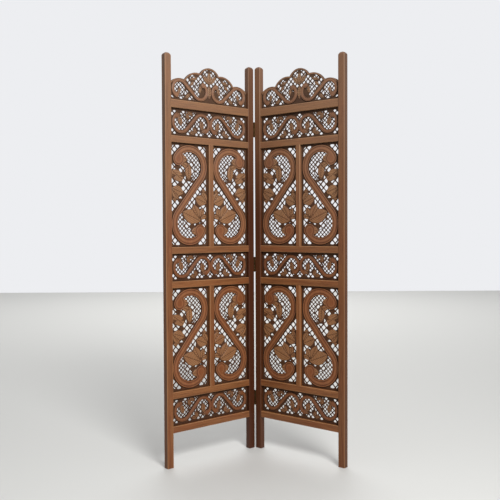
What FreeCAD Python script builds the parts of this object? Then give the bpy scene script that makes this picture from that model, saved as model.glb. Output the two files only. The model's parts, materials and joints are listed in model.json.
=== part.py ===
import FreeCAD, Part

# Two-leaf folding screen of carved wood, in millimetres, +Z up.
# The origin lies on the floor at the middle of the overall box. The hinge line is at the back (+Y)
# and both leaves come forward from it (-Y), so that the screen stands in a V.
# Each leaf is a pair of posts with six tenoned rails, two mullions and eight pierced boards in grooves.
# Three butt hinges on the facing edges of the inner posts join the leaves.

import math
import os
from collections import namedtuple

import Sketcher
from FreeCAD import Placement, Rotation, Vector

doc = FreeCAD.newDocument("carved_folding_screen")
sheet = doc.addObject("Spreadsheet::Sheet", "Sizes")

SIZES = (
    ("leaf_angle", 40, "turn of each leaf from the straight line, in degrees"),
    ("leaf_width", 505, "one leaf over its posts"),
    ("post_height", 1829, "floor to the top of a post"),
    ("post_width", 33, "post along the leaf"),
    ("post_depth", 28, "post through the leaf"),
    ("post_round", 2.5, "rounding of the long edges of a post"),
    ("dome_margin", 0.5, "how far the turned top of a post reaches past its corners"),
    ("leg_height", 152, "floor to the underside of the bottom rail"),
    ("rail_height", 30, "every rail but the crest rail"),
    ("crest_rail_height", 36, "rail under the crest board"),
    ("rail_depth", 24, "rails and mullions through the leaf"),
    ("rail_round", 2.5, "rounding of the long edges of rails and mullions"),
    ("frieze_height", 122, "opening of a frieze board"),
    ("tall_height", 462, "opening of a tall board"),
    ("mullion_width", 25, "upright between two tall boards"),
    ("tenon_length", 16, "rail tenon in a post"),
    ("tenon_height", 14, "rail tenon"),
    ("tenon_thickness", 8, "tenons of rails and mullions"),
    ("mullion_tenon_length", 10, "mullion tenon in a rail"),
    ("mullion_tenon_width", 11, "mullion tenon along the leaf"),
    ("tenon_clearance", 0.1, "between a tenon and each cheek of its mortise"),
    ("blind_gap", 1, "left at the end of a mortise or a screw hole"),
    ("board_thickness", 9, "carved boards"),
    ("board_setback", 4, "middle of the carved boards behind the middle of the frame"),
    ("groove_depth", 6, "grooves for the boards in posts, rails and mullions"),
    ("groove_clearance", 0.2, "between a board and each cheek of its groove"),
    ("board_edge_gap", 0.6, "room for a board to swell at its sides and top"),
    ("board_border", 9, "plain margin inside the opening of a board"),
    ("tall_scroll_side", 6, "between the opening of a tall board and the sides of its scroll"),
    ("tall_scroll_end", 6, "between the opening of a tall board and the ends of its scroll"),
    ("tall_scroll_width", 33, "band of the scroll on a tall board"),
    ("tall_bulb_radius", 31, "rounded ends of that scroll"),
    ("frieze_scroll_margin", 2, "between the margin of a frieze board and its scroll"),
    ("frieze_scroll_width", 17, "band of the scroll on a frieze board"),
    ("frieze_bulb_radius", 13, "rounded ends of that scroll"),
    ("frieze_scroll_overlap", 3, "how far the two inner scroll loops of a frieze run together"),
    ("crest_loop_radius", 46, "outside of a scroll loop on the crest board"),
    ("crest_loop_rise", 52, "crest rail to the centre of a scroll loop"),
    ("crest_inner_loop", 54, "middle of the crest to the inner loop centres"),
    ("scroll_sweep", 190, "turn of each loop of a scroll, in degrees"),
    ("scroll_relief", 1.6, "how far a scroll stands proud of its board on each face"),
    ("scroll_land", 1, "ledge along a scroll between its raised part and the holes"),
    ("lattice_pitch", 14, "from hole to hole of the fine lattice in and along the scrolls"),
    ("lattice_bar", 3.4, "bar between two holes of the fine lattice"),
    ("tall_coarse_pitch", 22, "from hole to hole of the coarse lattice of a tall board"),
    ("frieze_coarse_pitch", 17, "from hole to hole of the coarse lattice of a frieze or crest board"),
    ("coarse_bar", 4.6, "bar between two holes of the coarse lattice"),
    ("tall_crescent_width", 38, "fine lattice in a loop of a tall scroll, where it is widest"),
    ("tall_crescent_shift", 20, "how far the hollow of that crescent lies from the loop's centre"),
    ("tall_verge", 0.5, "fine lattice along the crossing of a tall scroll"),
    ("frieze_crescent_width", 40, "fine lattice in a loop of a frieze or crest scroll, where it is widest"),
    ("frieze_crescent_shift", 10, "how far the hollow of that crescent lies from the loop's centre"),
    ("frieze_verge", 0.5, "fine lattice along the crossing of a frieze or crest scroll"),
    ("hole_least_area", 12, "a smaller remnant of a lattice hole stays solid, in square millimetres"),
    ("hole_least_width", 2.4, "a narrower remnant of a lattice hole stays solid"),
    ("crest_end_rise", 73, "crest rail to the top edge of the crest at the posts"),
    ("crest_outer_valley", 139, "middle of the crest to the notch between its side lobes"),
    ("crest_outer_rise", 95, "crest rail to that notch"),
    ("crest_inner_valley", 54, "middle of the crest to the notch beside its centre lobe"),
    ("crest_inner_rise", 132, "crest rail to that notch"),
    ("crest_peak_rise", 163, "crest rail to the top of the centre lobe"),
    ("crest_outer_bulge", 12, "bulge of the outer lobes from their chords"),
    ("crest_inner_bulge", 15, "bulge of the inner side lobes from their chords"),
    ("crest_rim", 9, "plain rim along the lobes"),
    ("hinge_gap", 4.4, "between the leaves when they lie in one line, and the knuckle diameter"),
    ("hinge_axis_proud", 0.6, "hinge axis in front of the posts"),
    ("hinge_height", 70, "butt hinge"),
    ("hinge_low", 243, "floor to the middle of the lowest hinge"),
    ("hinge_high", 1531, "floor to the middle of the highest hinge"),
    ("hinge_plate_width", 24, "hinge plate from the axis"),
    ("hinge_plate_thickness", 1.6, "hinge plate"),
    ("knuckle_gap", 0.3, "between neighbouring knuckles"),
    ("pin_radius", 1.2, "hinge pin"),
    ("pin_clearance", 0.05, "between the pin and the knuckles"),
    ("pin_head_radius", 1.9, "riveted ends of a hinge pin"),
    ("pin_head_height", 1.5, "riveted ends of a hinge pin"),
    ("screw_radius", 1.6, "shank of a hinge screw"),
    ("screw_head_radius", 3.2, "countersunk head of a hinge screw"),
    ("screw_length", 13, "hinge screw in the wood"),
    ("screw_tip", 3, "pointed end of a hinge screw"),
    ("screw_clearance", 0.1, "around a hinge screw"),
    ("screw_line", 14, "hinge axis to the line of screws"),
    ("screw_edge", 12, "end of a hinge plate to its first screw"),
)
for row, (alias, value, meaning) in enumerate(SIZES, start=1):
    sheet.set(f"A{row}", alias)
    sheet.set(f"B{row}", str(value))
    sheet.set(f"C{row}", meaning)
    sheet.setAlias(f"B{row}", alias)
doc.recompute()

# Counts and the overrun of cutting shapes past the face that they cut
KNUCKLES = 5
SCREWS_PER_PLATE = 3
OVERRUN = "2"
# Share of the widest loop that fits on a frieze, so that the crossing of its scroll still leans
LOOP_ROOM = 0.97

# Clear width between the posts, and of one tall opening
SPAN = "(Sizes.leaf_width - 2 * Sizes.post_width)"
TALL_WIDTH = f"(({SPAN} - Sizes.mullion_width) / 2)"
GROOVE_WIDTH = "(Sizes.board_thickness + 2 * Sizes.groove_clearance)"

# What stands on what between the posts, from the bottom rail up, with the size that gives its height
STACK = (
    ("bottom_rail", "rail_height"),
    ("bottom_frieze", "frieze_height"),
    ("lower_sill_rail", "rail_height"),
    ("lower_tall", "tall_height"),
    ("waist_bottom_rail", "rail_height"),
    ("waist_frieze", "frieze_height"),
    ("waist_top_rail", "rail_height"),
    ("upper_tall", "tall_height"),
    ("upper_head_rail", "rail_height"),
    ("top_frieze", "frieze_height"),
    ("crest_rail", "crest_rail_height"),
)
LEVEL = {}
level_so_far = "Sizes.leg_height"
for piece, height in STACK:
    LEVEL[piece] = f"({level_so_far})"
    level_so_far += f" + Sizes.{height}"
LEVEL["crest"] = f"({level_so_far})"
RAILS = {piece: height for piece, height in STACK if piece.endswith("rail")}
MULLION_ON = ("lower_sill_rail", "waist_top_rail")
MULLION_UNDER = ("waist_bottom_rail", "upper_head_rail")

sub_parts = []


def number(expression):
    """Value of an expression over the sheet, in millimetres or degrees."""
    return float(sheet.evalExpression(expression))


def size(alias):
    """Value of one cell of the sheet."""
    return number(f"Sizes.{alias}")


def leaf_frame(side):
    """Placement of a leaf: origin at the foot of the hinge axis, X along the leaf, +Y to its back."""
    turn = math.radians(size("leaf_angle"))
    rounding = size("post_round")
    far = size("hinge_gap") / 2 + size("leaf_width") - rounding
    near = size("hinge_gap") / 2 + rounding
    front = size("hinge_axis_proud") + rounding
    back = size("hinge_axis_proud") + size("post_depth") - rounding
    foremost = front * math.cos(turn) - far * math.sin(turn) - rounding
    rearmost = back * math.cos(turn) - near * math.sin(turn) + rounding
    middle = (foremost + rearmost) / 2
    return Placement(Vector(0, -middle, 0), Rotation(Vector(0, 0, 1), -side * size("leaf_angle")))


def place(obj, label, side, along, through, up, half_turn=False):
    """Set a sub-part in its leaf and give it the name of its file."""
    spot = Placement(Vector(side * along, through, up), Rotation(Vector(0, 0, 1), 180 if half_turn else 0))
    obj.Label = label
    obj.Placement = leaf_frame(side) * spot
    sub_parts.append(obj)


def sketch_on(body, name, role, offset="0"):
    """Empty sketch on an origin plane of the body, moved along the plane's normal."""
    sketch = body.newObject("Sketcher::SketchObject", name)
    plane = next(feature for feature in body.Origin.OriginFeatures if feature.Role == role)
    sketch.AttachmentSupport = [(plane, "")]
    sketch.MapMode = "FlatFace"
    sketch.setExpression("AttachmentOffset.Base.z", offset)
    return sketch


def bind(sketch, constraint, expression):
    """Add a dimension to a sketch and tie it to the sheet."""
    index = sketch.addConstraint(constraint)
    name = f"size{index}"
    sketch.renameConstraint(index, name)
    sketch.setExpression(f"Constraints.{name}", expression)


def add_rectangle(sketch, left, low, width, height):
    """Rectangle whose corner and sides follow expressions over the sheet."""
    x, y, w, h = (number(expression) for expression in (left, low, width, height))
    corners = [Vector(x, y), Vector(x + w, y), Vector(x + w, y + h), Vector(x, y + h)]
    first = sketch.GeometryCount
    for index in range(4):
        sketch.addGeometry(Part.LineSegment(corners[index], corners[(index + 1) % 4]))
    for index in range(4):
        sketch.addConstraint(Sketcher.Constraint("Coincident", first + index, 2, first + (index + 1) % 4, 1))
    for index in (0, 2):
        sketch.addConstraint(Sketcher.Constraint("Horizontal", first + index))
        sketch.addConstraint(Sketcher.Constraint("Vertical", first + index + 1))
    bind(sketch, Sketcher.Constraint("DistanceX", -1, 1, first, 1, x), left)
    bind(sketch, Sketcher.Constraint("DistanceY", -1, 1, first, 1, y), low)
    bind(sketch, Sketcher.Constraint("DistanceX", first, 1, first, 2, w), width)
    bind(sketch, Sketcher.Constraint("DistanceY", first + 1, 1, first + 1, 2, h), height)


def add_circle(sketch, x, y, radius):
    """Circle whose centre and radius follow expressions over the sheet."""
    centre = Vector(number(x), number(y))
    index = sketch.addGeometry(Part.Circle(centre, Vector(0, 0, 1), number(radius)))
    bind(sketch, Sketcher.Constraint("DistanceX", -1, 1, index, 3, centre.x), x)
    bind(sketch, Sketcher.Constraint("DistanceY", -1, 1, index, 3, centre.y), y)
    bind(sketch, Sketcher.Constraint("Radius", index, number(radius)), radius)


def pad(body, sketch, length, symmetric=False):
    """Solid raised from a sketch, to one side or evenly to both."""
    feature = body.newObject("PartDesign::Pad", f"{sketch.Name}_pad")
    feature.Profile = sketch
    feature.setExpression("Length", length)
    feature.SideType = "Symmetric" if symmetric else "One side"
    doc.recompute()
    return feature


def must_cut(body, feature):
    """Recompute, and stop if a cut took nothing away."""
    before = feature.BaseFeature.Shape.Volume
    doc.recompute()
    if not body.Shape.Volume < before:
        raise RuntimeError(f"{feature.Name} cuts nothing")


def pocket(body, sketch, length, symmetric=False, turned=False):
    """Cut from a sketch: against its normal, along it where turned, or evenly to both sides."""
    feature = body.newObject("PartDesign::Pocket", f"{sketch.Name}_cut")
    feature.Profile = sketch
    feature.setExpression("Length", length)
    feature.SideType = "Symmetric" if symmetric else "One side"
    feature.Reversed = turned
    must_cut(body, feature)


def round_edges(body, base, axis, radius):
    """Round the edges of a feature that run along an axis."""
    names = []
    for index, edge in enumerate(base.Shape.Edges, start=1):
        if abs(edge.tangentAt(edge.FirstParameter).dot(axis)) > 0.999:
            names.append(f"Edge{index}")
    feature = body.newObject("PartDesign::Fillet", f"{body.Name}_rounding")
    feature.Base = (base, names)
    feature.setExpression("Radius", radius)
    doc.recompute()


def turn_dome(body):
    """Turn the top of a post to part of a ball that just holds the post's corners."""
    radius = "(hypot(Sizes.post_width; Sizes.post_depth) / 2 + Sizes.dome_margin)"
    centre = f"Sizes.post_height - {radius}"
    r, top = number(radius), size("post_height")
    over = number(OVERRUN)
    sketch = sketch_on(body, f"{body.Name}_dome", "XZ_Plane")
    ball = Part.Circle(Vector(0, top - r), Vector(0, 0, 1), r)
    sketch.addGeometry(Part.ArcOfCircle(ball, 0, math.pi / 2))
    corners = [Vector(0, top), Vector(0, top + over), Vector(r, top + over), Vector(r, top - r)]
    for index in range(3):
        sketch.addGeometry(Part.LineSegment(corners[index], corners[index + 1]))
    for index in range(4):
        sketch.addConstraint(Sketcher.Constraint("Coincident", index, 2, (index + 1) % 4, 1))
    sketch.addConstraint(Sketcher.Constraint("Vertical", 1))
    sketch.addConstraint(Sketcher.Constraint("Horizontal", 2))
    sketch.addConstraint(Sketcher.Constraint("Vertical", 3))
    sketch.addConstraint(Sketcher.Constraint("PointOnObject", 1, 1, -2))
    sketch.addConstraint(Sketcher.Constraint("PointOnObject", 0, 3, -2))
    sketch.addConstraint(Sketcher.Constraint("Horizontal", 0, 1, 0, 3))
    bind(sketch, Sketcher.Constraint("Radius", 0, r), radius)
    bind(sketch, Sketcher.Constraint("DistanceY", -1, 1, 0, 3, top - r), centre)
    bind(sketch, Sketcher.Constraint("DistanceY", 1, 1, 1, 2, over), OVERRUN)
    feature = body.newObject("PartDesign::Groove", f"{sketch.Name}_cut")
    feature.Profile = sketch
    feature.ReferenceAxis = (sketch, ["V_Axis"])
    feature.Angle = 360
    must_cut(body, feature)


def hinge_levels():
    """Expressions for the heights of the middle of each hinge."""
    middle = "(Sizes.hinge_low + Sizes.hinge_high) / 2"
    return {"lower": "Sizes.hinge_low", "middle": middle, "upper": "Sizes.hinge_high"}


def screw_levels(hinge_level):
    """Expressions for the heights of the screws of a hinge plate, from its lowest one."""
    low = f"({hinge_level} - Sizes.hinge_height / 2 + Sizes.screw_edge)"
    step = f"((Sizes.hinge_height - 2 * Sizes.screw_edge) / {SCREWS_PER_PLATE - 1})"
    return [f"{low} + {index} * {step}" for index in range(SCREWS_PER_PLATE)]


def make_post(label, side, at_hinge):
    """Post with its groove and mortises on the local +X side, and screw holes on the other."""
    body = doc.addObject("PartDesign::Body", label)
    section = sketch_on(body, f"{label}_section", "XY_Plane")
    add_rectangle(section, "-Sizes.post_width / 2", "-Sizes.post_depth / 2",
                  "Sizes.post_width", "Sizes.post_depth")
    blank = pad(body, section, "Sizes.post_height")
    round_edges(body, blank, Vector(0, 0, 1), "Sizes.post_round")
    turn_dome(body)

    # A post whose groove looks back towards the hinge, or to the left, stands turned half round.
    half_turn = (side > 0) != at_hinge
    setback = "Sizes.board_setback" if half_turn else "-Sizes.board_setback"
    groove = sketch_on(body, f"{label}_groove", "XZ_Plane", setback)
    groove_end = f"{LEVEL['crest']} + Sizes.crest_end_rise + Sizes.board_edge_gap"
    groove_width = f"Sizes.groove_depth + {OVERRUN}"
    add_rectangle(groove, "Sizes.post_width / 2 - Sizes.groove_depth", LEVEL["bottom_rail"], groove_width,
                  f"{groove_end} - {LEVEL['bottom_rail']}")
    pocket(body, groove, GROOVE_WIDTH, symmetric=True)

    mortises = sketch_on(body, f"{label}_mortises", "XZ_Plane")
    depth = "(Sizes.tenon_length + Sizes.blind_gap)"
    for rail, height in RAILS.items():
        low = f"{LEVEL[rail]} + (Sizes.{height} - Sizes.tenon_height) / 2 - Sizes.tenon_clearance"
        add_rectangle(mortises, f"Sizes.post_width / 2 - {depth}", low, f"{depth} + {OVERRUN}",
                      "Sizes.tenon_height + 2 * Sizes.tenon_clearance")
    pocket(body, mortises, "Sizes.tenon_thickness + 2 * Sizes.tenon_clearance", symmetric=True)

    if at_hinge:
        sign = "-1" if half_turn else "1"
        line = f"{sign} * (Sizes.screw_line - Sizes.hinge_axis_proud - Sizes.post_depth / 2)"
        holes = sketch_on(body, f"{label}_screw_holes", "YZ_Plane", "-Sizes.post_width / 2")
        for hinge_level in hinge_levels().values():
            for level in screw_levels(hinge_level):
                add_circle(holes, line, level, "Sizes.screw_radius + Sizes.screw_clearance")
        pocket(body, holes, "Sizes.screw_length + Sizes.blind_gap", turned=True)
        along = number("Sizes.hinge_gap / 2 + Sizes.post_width / 2")
    else:
        along = number("Sizes.hinge_gap / 2 + Sizes.leaf_width - Sizes.post_width / 2")
    place(body, label, side, along, leaf_middle_through(), 0, half_turn)


def leaf_middle_along():
    """Hinge axis to the middle of a leaf."""
    return number("Sizes.hinge_gap / 2 + Sizes.leaf_width / 2")


def leaf_middle_through():
    """Hinge axis to the middle plane of a leaf."""
    return number("Sizes.hinge_axis_proud + Sizes.post_depth / 2")


def make_rail(label, side, piece, height):
    """Rail with a tenon at each end, board grooves above and below, and mullion mortises."""
    body = doc.addObject("PartDesign::Body", label)
    section = sketch_on(body, f"{label}_section", "YZ_Plane")
    add_rectangle(section, "-Sizes.rail_depth / 2", "0", "Sizes.rail_depth", f"Sizes.{height}")
    bar = pad(body, section, SPAN, symmetric=True)
    round_edges(body, bar, Vector(1, 0, 0), "Sizes.rail_round")

    tenon = sketch_on(body, f"{label}_tenon", "YZ_Plane")
    add_rectangle(tenon, "-Sizes.tenon_thickness / 2", f"(Sizes.{height} - Sizes.tenon_height) / 2",
                  "Sizes.tenon_thickness", "Sizes.tenon_height")
    pad(body, tenon, f"{SPAN} + 2 * Sizes.tenon_length", symmetric=True)

    groove = sketch_on(body, f"{label}_groove", "YZ_Plane")
    groove_height = f"Sizes.groove_depth + {OVERRUN}"
    groove_side = f"Sizes.board_setback - {GROOVE_WIDTH} / 2"
    add_rectangle(groove, groove_side, f"Sizes.{height} - Sizes.groove_depth", GROOVE_WIDTH, groove_height)
    if piece != "bottom_rail":
        add_rectangle(groove, groove_side, f"-{OVERRUN}", GROOVE_WIDTH, groove_height)
    pocket(body, groove, SPAN, symmetric=True)

    if piece in MULLION_ON or piece in MULLION_UNDER:
        above = piece in MULLION_ON
        mortise = sketch_on(body, f"{label}_mortise", "XY_Plane", f"Sizes.{height}" if above else "0")
        width = "(Sizes.mullion_tenon_width + 2 * Sizes.tenon_clearance)"
        thickness = "(Sizes.tenon_thickness + 2 * Sizes.tenon_clearance)"
        add_rectangle(mortise, f"-{width} / 2", f"-{thickness} / 2", width, thickness)
        pocket(body, mortise, "Sizes.mullion_tenon_length + Sizes.blind_gap", turned=not above)
    place(body, label, side, leaf_middle_along(), leaf_middle_through(), number(LEVEL[piece]))


def make_mullion(label, side, opening):
    """Upright between two tall boards, tenoned into the rails and grooved on both sides."""
    body = doc.addObject("PartDesign::Body", label)
    section = sketch_on(body, f"{label}_section", "XY_Plane")
    add_rectangle(section, "-Sizes.mullion_width / 2", "-Sizes.rail_depth / 2", "Sizes.mullion_width",
                  "Sizes.rail_depth")
    bar = pad(body, section, "Sizes.tall_height")
    round_edges(body, bar, Vector(0, 0, 1), "Sizes.rail_round")

    tenon = sketch_on(body, f"{label}_tenon", "XY_Plane", "-Sizes.mullion_tenon_length")
    add_rectangle(tenon, "-Sizes.mullion_tenon_width / 2", "-Sizes.tenon_thickness / 2",
                  "Sizes.mullion_tenon_width", "Sizes.tenon_thickness")
    pad(body, tenon, "Sizes.tall_height + 2 * Sizes.mullion_tenon_length")

    grooves = sketch_on(body, f"{label}_grooves", "XY_Plane")
    groove_width = f"Sizes.groove_depth + {OVERRUN}"
    for left in ("Sizes.mullion_width / 2 - Sizes.groove_depth", f"-Sizes.mullion_width / 2 - {OVERRUN}"):
        add_rectangle(grooves, left, f"Sizes.board_setback - {GROOVE_WIDTH} / 2", groove_width, GROOVE_WIDTH)
    pocket(body, grooves, "Sizes.tall_height", turned=True)
    place(body, label, side, leaf_middle_along(), leaf_middle_through(), number(LEVEL[opening]))


# Carved boards. A board is drawn in its own XZ plane, with X = 0 at its middle.
# A Leaf grows from a point beside a scroll loop: its place from the loop's centre, the way it points
# (degrees from +X towards +Z), its length and its width.
Leaf = namedtuple("Leaf", "x z direction length width")
TALL_UPPER_LEAVES = (
    Leaf(6, 16, 267, 76, 36),
    Leaf(56, 30, 172, 46, 36),
    Leaf(44, 16, 204, 50, 26),
    Leaf(96, -18, 216, 80, 48),
    Leaf(96, -40, 184, 62, 34),
    Leaf(96, -98, 198, 68, 46),
    Leaf(96, -104, 230, 58, 28),
    Leaf(96, -152, 172, 30, 16),
)
TALL_LOWER_LEAVES = (
    Leaf(-56, -30, 352, 46, 36),
    Leaf(-62, 12, 22, 108, 64),
    Leaf(-56, 20, 62, 76, 40),
    Leaf(-60, 16, 104, 58, 30),
    Leaf(-96, 34, 352, 46, 28),
    Leaf(-96, 92, 22, 68, 48),
    Leaf(-96, 102, 60, 50, 28),
    Leaf(-96, 152, 352, 30, 16),
)
FRIEZE_LEAVES = (
    Leaf(-8, 30, 284, 48, 24),
    Leaf(-28, 26, 20, 30, 18),
    Leaf(28, 46, 300, 34, 18),
    Leaf(36, 48, 340, 34, 16),
)
CREST_LEAVES = (
    Leaf(-6, 26, 284, 38, 16),
    Leaf(-24, 22, 20, 22, 12),
    Leaf(30, 40, 320, 34, 15),
)
CREST_FAN = (
    Leaf(0, 84, 90, 62, 24),
    Leaf(3, 90, 48, 52, 20),
    Leaf(-3, 90, 132, 52, 20),
    Leaf(64, 110, 345, 48, 13),
    Leaf(-64, 110, 195, 48, 13),
    Leaf(0, 20, 90, 66, 20),
)
# An S-shaped band round two loops, with a round bulb at each end. It runs round the first loop, crosses over
# on a straight line that touches both loops in the direction touch, and runs round the second the other way.
Scroll = namedtuple("Scroll", "first second outside band bulb touch sweep")


def polar(centre, radius, degrees):
    """Point at a distance and a direction from a centre."""
    angle = math.radians(degrees)
    return centre + Vector(radius * math.cos(angle), 0, radius * math.sin(angle))


def heading(vector):
    """Direction of a vector, in degrees from +X towards +Z."""
    return math.degrees(math.atan2(vector.z, vector.x))


def line_edge(start, end):
    """Straight edge between two points."""
    return Part.LineSegment(start, end).toShape()


def arc_edge(centre, radius, start, sweep):
    """Arc about a centre, from a direction and through a turn in degrees."""
    angles = (start, start + sweep / 2, start + sweep)
    return Part.Arc(*(polar(centre, radius, angle) for angle in angles)).toShape()


def bulged_arc(start, end, bulge):
    """Arc between two points, which bulges to the left of the way from start to end."""
    chord = end - start
    left = Vector(-chord.z, 0, chord.x).normalize()
    return Part.Arc(start, (start + end) / 2 + left * bulge, end)


def closed_wire(points):
    """Closed run of straight edges."""
    return Part.makePolygon(points + points[:1])


def mirrored(leaf):
    """The same leaf on the other side of the board's middle."""
    return Leaf(-leaf.x, leaf.z, 180 - leaf.direction, leaf.length, leaf.width)


def half_turned(leaf):
    """The same leaf turned half round its loop's centre."""
    return Leaf(-leaf.x, -leaf.z, leaf.direction + 180, leaf.length, leaf.width)


def make_scroll(first, second, outside, band, bulb, hand):
    """Scroll round two loop centres; hand is 1 or -1 for the two ways round."""
    gap = second - first
    lean = math.degrees(math.asin((2 * outside - band) / gap.Length))
    touch = heading(gap) - hand * (90 - lean)
    return Scroll(first, second, outside, band, bulb, touch, -hand * size("scroll_sweep"))


def scroll_loops(scroll):
    """Each loop's centre, the direction where the crossing touches it, and the direction of its end."""
    for loop, touch in ((scroll.first, scroll.touch), (scroll.second, scroll.touch + 180)):
        yield loop, touch, touch + scroll.sweep


def scroll_faces(scroll, inset):
    """Flat faces of the band and its bulbs, drawn narrower by an inset on each edge."""
    outer, inner = scroll.outside - inset, scroll.outside - scroll.band + inset
    (first, touch, start), (second, back, end) = scroll_loops(scroll)
    sweep = scroll.sweep
    band = Part.Wire([
        arc_edge(first, outer, start, -sweep),
        line_edge(polar(first, outer, touch), polar(second, inner, back)),
        arc_edge(second, inner, back, sweep),
        line_edge(polar(second, inner, end), polar(second, outer, end)),
        arc_edge(second, outer, end, -sweep),
        line_edge(polar(second, outer, back), polar(first, inner, touch)),
        arc_edge(first, inner, touch, sweep),
        line_edge(polar(first, inner, start), polar(first, outer, start)),
    ])
    wires = [band]
    for loop, _, direction in scroll_loops(scroll):
        centre = polar(loop, scroll.outside - scroll.bulb, direction)
        wires.append(Part.Wire(Part.Circle(centre, Vector(0, 1, 0), scroll.bulb - inset).toShape()))
    return [Part.Face(wire) for wire in wires]


def scroll_clearance(scroll, point):
    """Distance from a point to the edge of a scroll, negative inside it."""
    radius = scroll.outside - scroll.band / 2
    nearest = math.inf
    touches = []
    for loop, touch, end in scroll_loops(scroll):
        arm = point - loop
        turned = math.copysign(1, scroll.sweep) * (heading(arm) - touch) % 360
        if turned <= abs(scroll.sweep):
            nearest = min(nearest, abs(arm.Length - radius) - scroll.band / 2)
        bulb = polar(loop, scroll.outside - scroll.bulb, end)
        nearest = min(nearest, point.distanceToPoint(bulb) - scroll.bulb)
        touches.append(polar(loop, radius, touch))
    crossing = touches[1] - touches[0]
    share = (point - touches[0]).dot(crossing) / crossing.dot(crossing)
    if 0 <= share <= 1:
        nearest = min(nearest, point.distanceToPoint(touches[0] + crossing * share) - scroll.band / 2)
    return nearest


def between_loops(scroll, point):
    """Whether a point lies beside the crossing of a scroll, and not past one of its loop centres."""
    gap = scroll.second - scroll.first
    return 0 < (point - scroll.first).dot(gap) < gap.dot(gap)


def leaf_clearance(centre, leaf, point):
    """Distance from a point to the edge of a pointed leaf of two arcs, negative inside it."""
    base = centre + Vector(leaf.x, 0, leaf.z)
    middle = polar(base, leaf.length / 2, leaf.direction)
    bulge = leaf.width / 2
    radius = (leaf.length ** 2 / 4 + bulge ** 2) / (2 * bulge)
    sides = (polar(middle, radius - bulge, leaf.direction + turn) for turn in (90, -90))
    return max(point.distanceToPoint(side) for side in sides) - radius


def field_clearance(half_width, low, high, point):
    """Distance from a point inside a rectangle to its nearest side, negative outside it."""
    return min(half_width - abs(point.x), point.z - low, high - point.z)


def crossing_point(free, solid, clearance):
    """Point between a free and a solid point where the clearance is nil."""
    for _ in range(12):
        middle = (free + solid) / 2
        if clearance(middle) > 0:
            free = middle
        else:
            solid = middle
    return free


def trimmed_cell(corners, clearance):
    """What is left of a lattice hole after the solid wood across it, as corner points."""
    free = [clearance(corner) > 0 for corner in corners]
    kept = []
    crossings = 0
    for index, corner in enumerate(corners):
        following = (index + 1) % len(corners)
        if free[index]:
            kept.append(corner)
        if free[index] != free[following]:
            ends = (corner, corners[following]) if free[index] else (corners[following], corner)
            kept.append(crossing_point(*ends, clearance))
            crossings += 1
    middle = sum(kept, Vector()) / max(len(kept), 1)
    return kept if crossings <= 2 and len(kept) > 2 and clearance(middle) > 0 else []


def wide_enough(points):
    """Whether what is left of a lattice hole is worth cutting."""
    hole = Part.Face(closed_wire(points))
    return hole.Area > size("hole_least_area") and 4 * hole.Area / hole.Length > size("hole_least_width")


def lattice_holes(box, pitch, bar, clearance):
    """Holes of a diagonal lattice over a box, trimmed to where the clearance is positive."""
    step = pitch / math.sqrt(2)
    reach = (pitch - bar) / math.sqrt(2)
    holes = []
    for column in range(math.floor(box.XMin / step), math.ceil(box.XMax / step) + 1):
        for row in range(math.floor(box.ZMin / step), math.ceil(box.ZMax / step) + 1):
            if (column + row) % 2:
                continue
            centre = Vector(column * step, 0, row * step)
            cell = trimmed_cell([polar(centre, reach, turn) for turn in (0, 90, 180, 270)], clearance)
            if cell and wide_enough(cell):
                holes.append(closed_wire(cell))
    return holes


def carved_board(outline, field, scrolls, leaves, kind):
    """Board pierced by lattices wherever its field is free, with the scrolls raised on both faces.

    The fine lattice fills a crescent in each loop and a verge along each crossing, and the coarse one what is
    left. field gives the clearance from the plain margin, leaves holds each leaf with its loop's centre, and
    kind names the sizes of crescent, verge and coarse lattice.
    """
    coarse_bar = size("coarse_bar")
    names = ("crescent_width", "crescent_shift", "verge", "coarse_pitch")
    crescent, shift, verge, coarse_pitch = (size(f"{kind}_{name}") for name in names)

    def ground(point):
        clear = [field(point)]
        clear += [scroll_clearance(scroll, point) for scroll in scrolls]
        clear += [leaf_clearance(centre, leaf, point) for centre, leaf in leaves]
        return min(clear)

    def fine_zone(point):
        depths = []
        for scroll in scrolls:
            inside = scroll.outside - scroll.band
            for loop, touch, _ in scroll_loops(scroll):
                hollow = polar(loop, -shift, touch + scroll.sweep / 2)
                eye = point.distanceToPoint(hollow) - (inside + shift - crescent)
                depths.append(min(inside - point.distanceToPoint(loop), eye))
            if between_loops(scroll, point):
                depths.append(verge - scroll_clearance(scroll, point))
        return max(depths)

    box = outline.BoundBox
    holes = lattice_holes(box, size("lattice_pitch"), size("lattice_bar"),
                          lambda point: min(ground(point), fine_zone(point)))
    holes += lattice_holes(box, coarse_pitch, coarse_bar,
                           lambda point: min(ground(point), -fine_zone(point) - coarse_bar / 2))
    thickness = size("board_thickness")
    relief = size("scroll_relief")
    pierced = Part.makeFace([outline] + holes, "Part::FaceMakerBullseye")
    pierced.translate(Vector(0, -thickness / 2, 0))
    board = pierced.extrude(Vector(0, thickness, 0))
    raised = []
    for scroll in scrolls:
        for face in scroll_faces(scroll, size("scroll_land")):
            face.translate(Vector(0, -thickness / 2 - relief, 0))
            raised.append(face.extrude(Vector(0, thickness + 2 * relief, 0)))
    solids = board.fuse(raised).removeSplitter().Solids
    if len(solids) != 1:
        raise RuntimeError("a carved board fell apart")
    return solids[0]


def board_outline(width, height):
    """Board for an opening, with its edges in the grooves: it stands on the groove below it."""
    tongue = size("groove_depth") - size("board_edge_gap")
    side, low, high = width / 2 + tongue, -height / 2 - size("groove_depth"), height / 2 + tongue
    corners = ((-side, low), (side, low), (side, high), (-side, high))
    return closed_wire([Vector(x, 0, z) for x, z in corners])


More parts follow.
